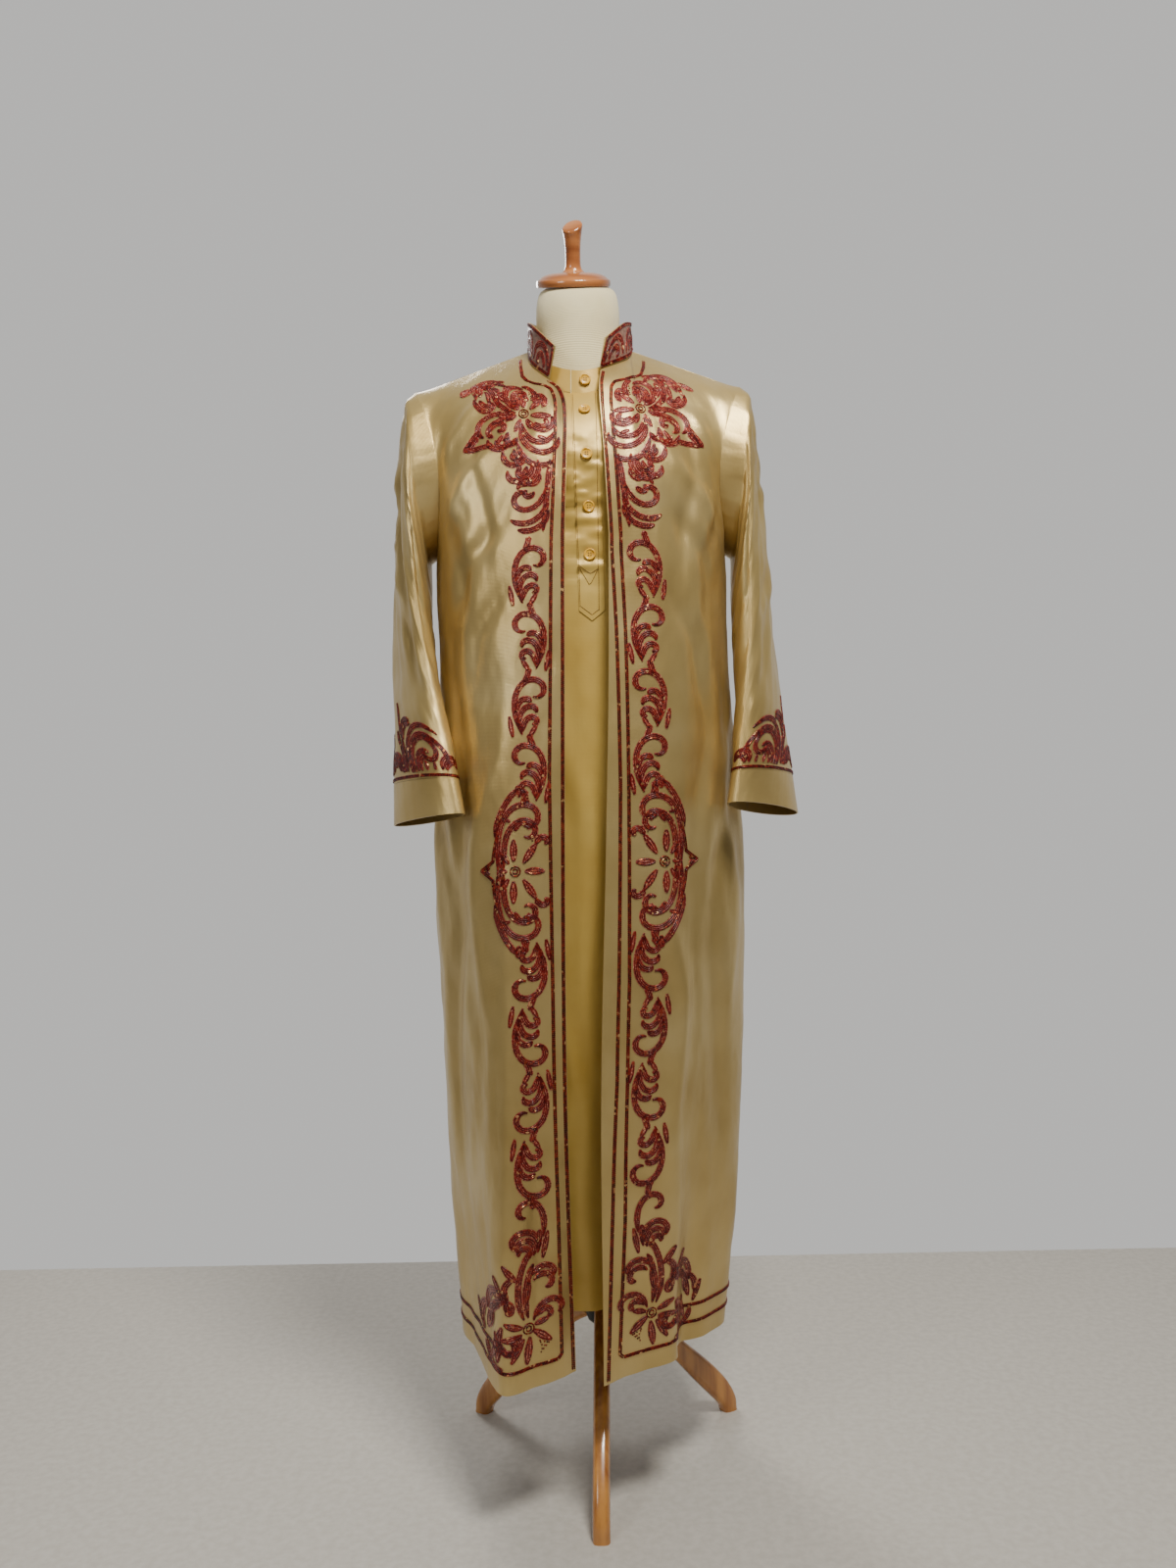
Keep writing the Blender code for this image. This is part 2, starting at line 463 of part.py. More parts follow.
def front_rows(side, folds):
    """All rows of a robe front, dense across, from the hem to the neckline and shoulder."""
    hole = ARMHOLES[side]
    edge = np.asarray(FRONT_EDGES[side])
    neck, middle, corner, tip = edge[-1], NECKLINE_MIDDLE[side], SHOULDER_NECK[side], hole["tip"]
    neck = (neck[1], neck[2], neck[0])
    top = joined((0.0, 0.35, [neck, middle, corner]), (0.35, 1.0, [corner, tip]))
    rows = [section(folds, z) for z in LOW_ROWS]
    bottom = section(folds, UNDERARM_Z)
    for t in HIGH_ROWS:
        z = UNDERARM_Z + t * (edge[-1][0] - UNDERARM_Z)
        x, y = curve_through(edge[:, 0], edge[:, 1:], [z])[0]
        rows.append(yoke(bottom, top, np.array([x, y, z]), armhole(hole, [t], "front")[0], t))
    return rows


def front_grid(side, folds):
    """A front's grid. Its columns follow the two braids, the neck braid and the embroidery's outline."""
    rows = front_rows(side, folds)
    heights = list(LOW_ROWS) + [UNDERARM_Z + t * (1.47 - UNDERARM_Z) for t in HIGH_ROWS]
    outline = np.interp(heights, *np.transpose(BORDER_OUTLINE))
    grid = []
    for k, row in enumerate(rows):
        t = HIGH_ROWS[k - len(LOW_ROWS)] if k >= len(LOW_ROWS) else 0.0
        weight = np.clip((t - 0.45) / 0.55, 0, 1) ** 2
        total = row_length(row)
        start = EDGE_DISTANCES[-1]
        low = [start + share * (outline[k] - start) for share in BORDER_SHARES]
        corner = row_length(row, 0.35)
        high = [start + share * (corner - start) for share in (1 / 3, 2 / 3, 1)] + [corner + SHOULDER_MOTIF]
        border = [(1 - weight) * a + weight * b for a, b in zip(low, high)]
        rest = [border[-1] + share * (total - border[-1]) for share in OUTER_SHARES]
        grid.append(at_distances(row, [*EDGE_DISTANCES, *border, *rest]))
    return np.array(grid)


def back_grid():
    """The back's grid, from the wearer's right side seam and armhole to the left ones."""
    right, left = ARMHOLES["right"], ARMHOLES["left"]
    corners = SHOULDER_NECK
    top = joined((0.0, 0.36, [right["tip"], corners["right"]]),
                 (0.36, 0.64, [corners["right"], *BACK_NECK, corners["left"]]),
                 (0.64, 1.0, [corners["left"], left["tip"]]))
    rows = [section(BACK_FOLDS, z) for z in LOW_ROWS]
    bottom = section(BACK_FOLDS, UNDERARM_Z)
    rows += [yoke(bottom, top, armhole(right, [t], "back")[0], armhole(left, [t], "back")[0], t)
             for t in HIGH_ROWS]
    return spread(rows, len(LOW_ROWS), HIGH_ROWS, BACK_SHARES, BACK_TOP_SHARES)


def spread(rows, low_count, high_rows, low_shares, top_shares):
    """A grid whose columns go from the low shares of the width to the top ones, so that a column meets
    each end of the neckline."""
    low, top = np.array(low_shares), np.array(top_shares)
    grid = []
    for k, row in enumerate(rows):
        t = high_rows[k - low_count] if k >= low_count else 0.0
        grid.append(at_shares(row, low + t * t * (top - low)))
    return np.array(grid)


def placket_x(z):
    """The x of the placket's middle: it hangs a little aslant."""
    return np.interp(z, *PLACKET_LINE)


def thobe_grid(face):
    """The thobe's front or back, from the wearer's right to the left."""
    folds = THOBE_FRONT_FOLDS if face == "front" else THOBE_BACK_FOLDS
    right, left = THOBE_ARMHOLES["right"], THOBE_ARMHOLES["left"]
    corners = THOBE_SHOULDER_NECK
    neck = list(THOBE_BACK_NECK)
    if face == "front":
        neck = [THOBE_NECK_SIDE["right"], THOBE_NECK_LOW, THOBE_NECK_SIDE["left"]]
    top = joined((0.0, 0.33, [right["tip"], corners["right"]]),
                 (0.33, 0.67, [corners["right"], *neck, corners["left"]]),
                 (0.67, 1.0, [corners["left"], left["tip"]]))
    rows = [section(folds, z, THOBE_HEM_Z) for z in THOBE_LOW_ROWS]
    bottom = section(folds, THOBE_UNDERARM_Z, THOBE_HEM_Z)
    rows += [yoke(bottom, top, armhole(right, [t], face)[0], armhole(left, [t], face)[0], t)
             for t in THOBE_HIGH_ROWS]
    if face == "back":
        return spread(rows, len(THOBE_LOW_ROWS), THOBE_HIGH_ROWS, THOBE_BACK_SHARES, THOBE_BACK_TOP)
    places = np.linspace(0, 1, SAMPLES)
    middle = slice(round(0.36 * SAMPLES), round(0.66 * SAMPLES))
    grid = []
    for k, row in enumerate(rows):
        t = THOBE_HIGH_ROWS[k - len(THOBE_LOW_ROWS)] if k >= len(THOBE_LOW_ROWS) else 0.0
        across = placket_x(row[SAMPLES // 2, 2]) + PLACKET_HALF * np.linspace(-1, 1, 5)
        inner = np.interp(across, row[middle, 0], places[middle])
        outer = np.array(THOBE_OUTER_SHARES) + t * t * (np.array(THOBE_OUTER_TOP) - THOBE_OUTER_SHARES)
        grid.append(at_shares(row, [*outer, *inner, *(1 - outer)[::-1]]))
    return np.array(grid)


def ring_angles(rows):
    """Angles round a sleeve that meet the rows of its armhole: the front from top to underarm, then the back."""
    front = [math.pi * (1 - t) for t in reversed(rows)]
    back = [2 * math.pi - math.pi * (1 - t) for t in rows]
    return np.array(front + back[1:-1])


def sleeve_ring(centre, outward, forward, back_share, angles):
    depth = np.where(np.sin(angles) < 0, back_share, 1.0) * np.sin(angles)
    return centre + np.cos(angles)[:, None] * outward + depth[:, None] * forward


def sleeve_grid(side, steps, hole, rows, scale=(1.0, 1.0)):
    """Rings of a sleeve at the given shares of its length. Share 0 is the armhole itself."""
    table = np.asarray(SLEEVE_RINGS[side])
    angles = ring_angles(rows)
    t = list(reversed(rows))
    first = np.concatenate([armhole(hole, t, "front"), armhole(hole, rows, "back")[1:-1]])
    rings = []
    for step in steps:
        values = curve_through(table[:, 0], table[:, 1:], [max(step, table[0, 0])])[0]
        centre = values[:3] + (THOBE_SLEEVE_SHIFT if scale[0] < 1 else 0) * values[3:6]
        ring = sleeve_ring(centre, scale[0] * values[3:6], scale[1] * values[6:9], values[9], angles)
        reach = table[0, 0] if scale[0] == 1 else THOBE_SLEEVE_BLEND
        if step < reach:
            ring = (1 - step / reach) * first + step / reach * ring
        rings.append(ring)
    return np.array(rings)


def ring_inside(points):
    return np.repeat(points.mean(axis=1, keepdims=True), points.shape[1], axis=1)


def collar_grid(right, left, back):
    """The collar's grid, from the neck edges of the fronts and the back up to the collar's top edge."""
    low = np.concatenate([right[-1, : CORNER_COLUMN + 1], back[-1, BACK_CORNERS[0] + 1 : BACK_CORNERS[1]],
                          left[-1, CORNER_COLUMN::-1]])
    length = np.concatenate([[0], np.cumsum(np.linalg.norm(np.diff(low, axis=0), axis=1))])
    guides = np.array(COLLAR_TOP)
    knots = np.concatenate([[0], np.cumsum(np.linalg.norm(np.diff(guides, axis=0), axis=1))])
    high = curve_through(knots / knots[-1], guides, length / length[-1])
    low = low + np.array([0, 0, COLLAR_RISE])
    return np.array([low + share * (high - low) for share in (0.0, COLLAR_BRAID, 0.5, 1 - COLLAR_BRAID, 1.0)])


def band_grid(front, back):
    """The thobe's neckband, from its overlapped end round the back to the buttoned end."""
    first = len(THOBE_OUTER_SHARES)
    corner = THOBE_OUTER_TOP.index(0.33)
    overlapped = front[-1, first] + BAND_END_GAP * (front[-1, first - 1] - front[-1, first])
    seam = np.concatenate([overlapped[None], front[-1, first - 1 : corner - 1 : -1],
                           back[-1, 3:8], front[-1, ::-1][corner : first + 5]])
    low = seam + np.array([0, 0, COLLAR_RISE])
    inward = np.column_stack([AXIS_X - low[:, 0], -low[:, 1], np.zeros(len(low))])
    inward /= np.linalg.norm(inward, axis=1, keepdims=True)
    high = low + BAND_INWARD * inward + np.array([0, 0, BAND_HEIGHT])
    return np.array([low + share * (high - low) for share in (0.0, 0.5, 1.0)])


def superellipse(centre_x, half, front, back, z, sides, power=2.3):
    angles = np.linspace(0, 2 * math.pi, sides, endpoint=False)
    c, s = np.cos(angles), np.sin(angles)
    x = centre_x + half * np.sign(c) * np.abs(c) ** (2 / power)
    depth = np.where(s < 0, -front, back)
    y = depth * np.sign(s) * np.abs(s) ** (2 / power)
    return np.column_stack([x, y, np.full(sides, z)])


def make_form():
    """The padded torso with its sloping neck, and the turned cap and finial on it."""
    rings = []
    for z, half, front, back in FORM_RINGS:
        ring = superellipse(AXIS_X - 0.0015, half, front, back, z, FORM_SIDES, 2.0 if z > 1.48 else 2.4)
        share = max(0.0, (z - 1.53) / (NECK_TOP[2] - 1.53))
        ring[:, 2] += share ** 1.5 * math.tan(NECK_TILT) * ring[:, 1]
        rings.append(ring)
    rings_solid("form_torso", rings, ("jersey", JERSEY))
    wood = ("turned_wood", WOOD)
    turned("form_cap", CAP_PROFILE, wood, NECK_TOP, lean=NECK_TILT)
    turned("form_finial", FINIAL_PROFILE, wood, NECK_TOP, slant=FINIAL_SLANT, lean=NECK_TILT)


def make_stand():
    turned("stand_pole", ((0.0, 0.2383), (POLE_RADIUS, 0.2383), (POLE_RADIUS, POLE_TOP), (0.0, POLE_TOP)),
           ("stand_metal", METAL), sides=16)
    turned("stand_hub", HUB_PROFILE, ("stand_metal", METAL))
    for name, degrees in LEG_ANGLES.items():
        make_leg("stand_leg_" + name, math.radians(degrees))


def make_leg(name, angle):
    """A sabre leg: a rounded bar swept down and out from the hub to a foot cut flat on the floor."""
    line = np.asarray(LEG_LINE)
    steps = np.linspace(0, 1, 11)
    places = np.linspace(0, 1, len(line))
    path = curve_through(places, line, steps)
    tangent = np.gradient(path[:, :2], axis=0)
    tangent /= np.linalg.norm(tangent, axis=1, keepdims=True)
    tangent[0], tangent[-1] = (1.0, 0.0), (0.0, -1.0)
    out, side = np.array([math.cos(angle), math.sin(angle)]), np.array([-math.sin(angle), math.cos(angle)])
    shape = [(1, 0.62), (0.72, 1), (-0.72, 1), (-1, 0.62), (-1, -0.62), (-0.72, -1), (0.72, -1), (1, -0.62)]
    rings = []
    for (radius, z, depth), (tr, tz) in zip(path, tangent):
        ring = []
        for up, across in shape:
            r = radius - tz * up * depth / 2
            height = z + tr * up * depth / 2
            flat = r * out + across * LEG_WIDTH / 2 * side
            ring.append((STAND_X + flat[0], STAND_Y + flat[1], height))
        rings.append(ring)
    rings_solid(name, rings, ("leg_wood", LEG_WOOD), 50)


def make_buttons(points, normals):
    """Four buttons down the placket, each turned about the cloth's own normal."""
    for k, z in enumerate(BUTTON_Z):
        y = np.interp(z, points[:, 2], points[:, 1])
        normal = np.array([np.interp(z, points[:, 2], normals[:, axis]) for axis in range(3)])
        make_button(f"thobe_button_{k + 2}", np.array([placket_x(z), y, z]), normal)


def make_button(name, centre, normal):
    """A dished button with a raised rim, just clear of the cloth under it."""
    normal = normal / np.linalg.norm(normal)
    side = np.cross(normal, (0, 0, 1.0))
    side /= np.linalg.norm(side)
    up = np.cross(side, normal)
    base = centre + BUTTON_OFFSET * normal
    angles = np.linspace(0, 2 * math.pi, 14, endpoint=False)
    rings = []
    for radius, height in ((0.74, 0.0), (1.0, 0.5), (0.90, 1.0), (0.66, 0.66)):
        rings.append([base + height * BUTTON_HEIGHT * normal
                      + radius * BUTTON_RADIUS * (math.cos(a) * side + math.sin(a) * up) for a in angles])
    rings_solid(name, rings, ("buttons", BUTTONS), 40)


def make_robe():
    satin, beads = ("robe_satin", SATIN), ("red_beads", BEADS)
    right, left = front_grid("right", FRONT_RIGHT_FOLDS), front_grid("left", FRONT_LEFT_FOLDS)
    back = back_grid()
    sleeves = {side: sleeve_grid(side, (*SLEEVE_STEPS, *CUFF_STEPS), ARMHOLES[side], HIGH_ROWS)
               for side in ("right", "left")}
    low = len(LOW_ROWS)
    seam_rows = slice(0, low + 1)
    right_n, left_n, back_n = (normals_of(g, axis_inside(g)) for g in (right, left, back))
    sleeve_n = {side: normals_of(g, ring_inside(g), True) for side, g in sleeves.items()}
    shared_normals((right_n, (seam_rows, -1)), (back_n, (seam_rows, 0)))
    shared_normals((left_n, (seam_rows, -1)), (back_n, (seam_rows, -1)))
    count = len(HIGH_ROWS)
    for side, front_n, back_column in (("right", right_n, 0), ("left", left_n, -1)):
        for k, row in enumerate(range(low, low + count)):
            around = count - 1 - k
            shared_normals((front_n, (row, -1)), (sleeve_n[side], (0, around)))
            if 0 < k < count - 1:
                shared_normals((back_n, (row, back_column)), (sleeve_n[side], (0, count - 1 + k)))
        tips = (front_n, (low + count - 1, -1)), (back_n, (low + count - 1, back_column))
        shared_normals(*tips, (sleeve_n[side], (0, 0)))
        unders = (front_n, (low, -1)), (back_n, (low, back_column))
        shared_normals(*unders, (sleeve_n[side], (0, count - 1)))
    shoulder_normals((right_n, slice(CORNER_COLUMN, None)), (left_n, slice(CORNER_COLUMN, None)),
                     (back_n, slice(None, BACK_CORNERS[0] + 1)), (back_n, slice(BACK_CORNERS[1], None)))
    collar = collar_grid(right, left, back)
    for grid in (right, left):
        inset_column(grid, -1, -2)
        inset_row(grid, -1, -2, 3 * SEAM_INSET)
    inset_column(back, 0, 1)
    inset_column(back, -1, -2)
    inset_row(back, -1, -2)
    for side in sleeves:
        inset_row(sleeves[side], 0, 1, 4 * SEAM_INSET)
    wall("robe_front_right", right, right_n, ROBE_CLOTH, satin)
    wall("robe_front_left", left, left_n, ROBE_CLOTH, satin)
    wall("robe_back", back, back_n, ROBE_CLOTH, satin)
    for side, grid in sleeves.items():
        make_sleeve(side, grid, sleeve_n[side], satin, beads)
    for side, grid, normals in (("right", right, right_n), ("left", left, left_n)):
        make_front_trim(side, grid, normals, beads)
    make_back_trim(back, back_n, beads)
    make_collar(collar, satin, beads)


def shoulder_normals(*edges):
    """Along the shoulder seams the walls are cut upright."""
    for normals, columns in edges:
        rising = normals[-1, columns]
        rising[:, 1] = 0
        rising[:, 2] = np.abs(rising[:, 2]) + 0.3
        normals[-1, columns] = rising / np.linalg.norm(rising, axis=1, keepdims=True)


def make_sleeve(side, grid, normals, satin, beads):
    """The sleeve tube, its cuff band and the braid that covers the seam between them."""
    sleeve_rows = len(SLEEVE_STEPS)
    wall(f"robe_sleeve_{side}", grid[:sleeve_rows], normals[:sleeve_rows], ROBE_CLOTH, satin, True)
    cuff = grid[sleeve_rows:]
    cuff_n = normals[sleeve_rows:]
    top = grid[sleeve_rows - 1] + 0.0006 * (cuff[0] - grid[sleeve_rows - 1]) / np.linalg.norm(
        cuff[0] - grid[sleeve_rows - 1], axis=1, keepdims=True)
    cuff = np.concatenate([top[None], cuff])
    cuff_n = np.concatenate([normals[sleeve_rows - 1][None], cuff_n])
    wall(f"robe_cuff_{side}", cuff, cuff_n, ROBE_CLOTH + 0.0006, satin, True)
    span = grid[sleeve_rows - 2 : sleeve_rows].copy()
    span_n = normals[sleeve_rows - 2 : sleeve_rows]
    braid = np.array([span[0] + share * (span[1] - span[0]) for share in CUFF_BRAID])
    braid_n = np.array([span_n[0] + share * (span_n[1] - span_n[0]) for share in CUFF_BRAID])
    laid_on(f"braid_cuff_{side}", braid, braid_n, all_cells(braid, True), BRAID_HEIGHT, beads, True)
    motif = grid[sleeve_rows - 4 : sleeve_rows].copy()
    motif_n = normals[sleeve_rows - 4 : sleeve_rows].copy()
    motif[-1] = span[0] + 0.80 * (span[1] - span[0])
    motif[0] = motif[0] + 0.35 * (motif[1] - motif[0])
    laid_on(f"embroidery_cuff_{side}", motif, motif_n, all_cells(motif, True), EMBROIDERY_HEIGHT, beads, True)


def make_front_trim(side, grid, normals, beads):
    """The braid on the edge, the braid beside it that turns along the hem, and the embroidered border."""
    rows, columns = grid.shape[:2]
    neck_row = rows - 3
    cells = [(r, c) for r in range(2, neck_row) for c in range(5, 9)]
    laid_on(f"embroidery_front_{side}", grid, normals, cells, EMBROIDERY_HEIGHT, beads)
    grid = grid.copy()
    grid[2] -= BRAID_GAP * (grid[2] - grid[1])
    grid[neck_row] += BRAID_GAP * (grid[neck_row + 1] - grid[neck_row])
    grid[3:5, 9] += 0.03 * (grid[3:5, 10] - grid[3:5, 9])
    grid[-1] -= 0.12 * (grid[-1] - grid[-2])
    lift = np.full((rows, 1, 1), LIFT)
    lift[-1] = 3 * LIFT
    edge = [(r, 1) for r in range(rows - 1)]
    laid_on(f"braid_edge_{side}", grid, normals, edge, BRAID_HEIGHT, beads, lift=lift)
    inner = [(r, 3) for r in range(1, neck_row)]
    hem = [(1, c) for c in range(4, columns - 1)]
    neck = [(neck_row, c) for c in range(3, CORNER_COLUMN)]
    laid_on(f"braid_inner_{side}", grid, normals, inner + hem + neck, BRAID_HEIGHT, beads)
    upper = [(3, c) for c in range(9, columns - 1)]
    laid_on(f"braid_hem_{side}", grid, normals, upper, BRAID_HEIGHT, beads)


def make_back_trim(grid, normals, beads):
    rows, columns = grid.shape[:2]
    for name, row in (("braid_hem_lower_back", 1), ("braid_hem_upper_back", 3)):
        laid_on(name, grid, normals, [(row, c) for c in range(columns - 1)], BRAID_HEIGHT, beads)
    neck = [(rows - 3, c) for c in range(BACK_CORNERS[0], BACK_CORNERS[1])]
    laid_on("braid_neck_back", grid, normals, neck, BRAID_HEIGHT, beads)


def make_collar(grid, satin, beads):
    """The stand collar and the frame of braid round it."""
    inside = axis_inside(grid)
    inside[..., 0] += 0.002
    normals = normals_of(grid, inside)
    wall("robe_collar", grid, normals, COLLAR_CLOTH, satin)
    rows, columns = grid.shape[:2]
    edge = grid.copy()
    edge[0] += 0.45 * (grid[1] - grid[0])
    cells = [(r, c) for r in (0, rows - 2) for c in range(columns - 1)]
    cells += [(r, c) for r in range(1, rows - 2) for c in (0, columns - 2)]
    laid_on("braid_collar", edge, normals, cells, BRAID_HEIGHT, beads)


def make_thobe():
    look = ("thobe_cloth", THOBE)
    front, back = thobe_grid("front"), thobe_grid("back")
    front_n, back_n = normals_of(front, axis_inside(front)), normals_of(back, axis_inside(back))
    low, count = len(THOBE_LOW_ROWS), len(THOBE_HIGH_ROWS)
    sleeves = {side: sleeve_grid(side, THOBE_SLEEVE_STEPS, THOBE_ARMHOLES[side], THOBE_HIGH_ROWS,
                                 THOBE_SLEEVE_SCALE) for side in ("right", "left")}
    sleeve_n = {side: normals_of(g, ring_inside(g), True) for side, g in sleeves.items()}
    shared_normals((front_n, (slice(0, low + 1), 0)), (back_n, (slice(0, low + 1), 0)))
    shared_normals((front_n, (slice(0, low + 1), -1)), (back_n, (slice(0, low + 1), -1)))
    for side, column in (("right", 0), ("left", -1)):
        for k in range(count):
            row, around = low + k, count - 1 - k
            shared_normals((front_n, (row, column)), (sleeve_n[side], (0, around)))
            if 0 < k < count - 1:
                shared_normals((back_n, (row, column)), (sleeve_n[side], (0, count - 1 + k)))
        shared_normals((front_n, (low + count - 1, column)), (back_n, (low + count - 1, column)),
                       (sleeve_n[side], (0, 0)))
        shared_normals((front_n, (low, column)), (back_n, (low, column)), (sleeve_n[side], (0, count - 1)))
    for normals in (front_n, back_n):
        shoulder_normals((normals, slice(None, 3)), (normals, slice(-3, None)))
    for grid in (front, back):
        inset_column(grid, 0, 1)
        inset_column(grid, -1, -2)
        inset_row(grid, -1, -2)
    wall("thobe_front", front, front_n, THOBE_CLOTH, look)
    wall("thobe_back", back, back_n, THOBE_CLOTH, look)
    for side, grid in sleeves.items():
        inset_row(grid, 0, 1, 2 * SEAM_INSET)
        wall(f"thobe_sleeve_{side}", grid, sleeve_n[side], THOBE_CLOTH, look, True)
    make_placket(front, front_n, look)
    middle = len(THOBE_OUTER_SHARES) + 2
    make_buttons(front[:, middle], front_n[:, middle])
    band = band_grid(front, back)
    band_n = normals_of(band, axis_inside(band))
    wall("thobe_neckband", band, band_n, THOBE_CLOTH + 0.0004, look)
    middle = (band[1, -2] + band[1, -3]) / 2 + np.array([0, 0, BAND_BUTTON_RISE])
    make_button("thobe_button_1", middle - BAND_BUTTON_INWARD * band_n[1, -2], band_n[1, -2])


def make_placket(front, normals, look):
    """The placket strip: the thobe's own points moved out, with a pointed lower end."""
    first = len(THOBE_OUTER_SHARES)
    heights = front[:, first + 2, 2]
    start = int(np.searchsorted(heights, PLACKET_LINE[0][0]))
    strip = front[start - 1 :, first : first + 5].copy()
    strip_n = normals[start - 1 :, first : first + 5]
    span = strip[1] - strip[0]
    rise = (PLACKET_LINE[0][0] - strip[0, :, 2]) / span[:, 2]
    tip = np.array([0.0, -0.5, -1.0, -0.5, 0.0]) * PLACKET_TIP / span[:, 2]
    strip[0] += np.clip(rise + tip, 0.02, 0.98)[:, None] * span
    strip[-1] -= 0.10 * (strip[-1] - strip[-2])
    laid_on("thobe_placket", strip, strip_n, all_cells(strip), PLACKET_CLOTH, look, lift=0.0004)


def centre_on_floor():
    """Parents every piece to one empty and moves it, so that the origin is the footprint's centre."""
    bpy.context.view_layer.update()
    pieces = [o for o in bpy.context.scene.objects if o.type == "MESH"]
    corners = np.array([o.matrix_world @ v.co for o in pieces for v in o.data.vertices])
    low, high = corners.min(0), corners.max(0)
    holder = bpy.data.objects.new("outfit_on_form", None)
    bpy.context.scene.collection.objects.link(holder)
    for piece in pieces:
        piece.parent = holder
    holder.location = (-(low[0] + high[0]) / 2, -(low[1] + high[1]) / 2, -low[2])


def main():
    for obj in list(bpy.data.objects):
        bpy.data.objects.remove(obj)
    make_form()
    make_stand()
    make_thobe()
    make_robe()
    centre_on_floor()


main()
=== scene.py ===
"""Looks of the long shirt and the open beaded satin robe on their dress form.

The cloth is worked out again from the garment's own sizes, in metres, +Z up, with the wearer facing -Y,
much finer than the frame's solids, and laid over them. Beads and stitches lie on charts of that cloth:
distance from the front edge, and height. "Right" and "left" are the wearer's.
"""

import math

import bpy
import numpy as np
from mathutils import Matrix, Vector, noise


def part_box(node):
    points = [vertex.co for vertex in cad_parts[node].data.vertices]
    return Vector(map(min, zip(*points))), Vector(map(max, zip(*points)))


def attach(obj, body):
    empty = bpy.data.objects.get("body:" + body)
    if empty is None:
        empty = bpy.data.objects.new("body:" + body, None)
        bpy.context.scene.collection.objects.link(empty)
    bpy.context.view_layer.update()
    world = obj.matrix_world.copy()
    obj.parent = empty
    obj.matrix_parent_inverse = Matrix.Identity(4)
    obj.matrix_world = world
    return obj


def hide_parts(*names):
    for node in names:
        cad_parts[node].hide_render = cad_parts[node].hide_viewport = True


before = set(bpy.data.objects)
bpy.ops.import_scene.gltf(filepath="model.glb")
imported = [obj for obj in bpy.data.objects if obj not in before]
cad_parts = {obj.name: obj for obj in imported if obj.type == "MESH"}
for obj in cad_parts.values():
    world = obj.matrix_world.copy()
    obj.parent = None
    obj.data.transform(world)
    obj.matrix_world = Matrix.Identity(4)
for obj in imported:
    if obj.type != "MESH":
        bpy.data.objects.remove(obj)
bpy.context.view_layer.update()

# Sizes of the cloth and of its hang
CLOTH = 0.0011
COLLAR_CLOTH = 0.0018
CUFF_CLOTH, CUFF_LIFT = 0.0018, 0.0003
AXIS_X = 0.005
STAND_X, STAND_Y = 0.0118, 0.005
HEM_Z = 0.184
UNDERARM_Z = 1.24
NECK_Z = 1.47
THOBE_UNDERARM_Z = 1.28
THOBE_HEM_Z = 0.249
SAMPLES = 240
SIDE_REACH = 4
# Rows up a panel below and above the underarm, and columns across it
LOW = np.linspace(HEM_Z, UNDERARM_Z, 151)[:-1]
HIGH = np.linspace(0, 1, 40)
THOBE_LOW = np.linspace(THOBE_HEM_Z, THOBE_UNDERARM_Z, 121)[:-1]
THOBE_HIGH = np.linspace(0, 1, 28)
PANEL_HEIGHTS = np.concatenate([LOW, UNDERARM_Z + HIGH * (NECK_Z - UNDERARM_Z)])
THOBE_HEIGHTS = np.concatenate([THOBE_LOW, THOBE_UNDERARM_Z + THOBE_HIGH * (NECK_Z - THOBE_UNDERARM_Z)])
FRONT_COLUMNS, BACK_COLUMNS, THOBE_COLUMNS, COLLAR_COLUMNS, COLLAR_ROWS = 81, 127, 85, 141, 11
# Rows on each side of the yoke's join that are rounded, and how often
SOFT_ROWS, SOFT_TIMES = 9, 60
# Shares of a panel's width at which the neckline meets the shoulder seams
CORNER_SHARE = 0.35
BACK_CORNER_SHARES = (0.36, 0.64)
THOBE_CORNER_SHARE = 0.33

# Heights at which the fold lines of a body panel are set: hem, knee, hip, waist, underarm
LEVELS = (HEM_Z, 0.52, 0.86, 1.06, UNDERARM_Z)

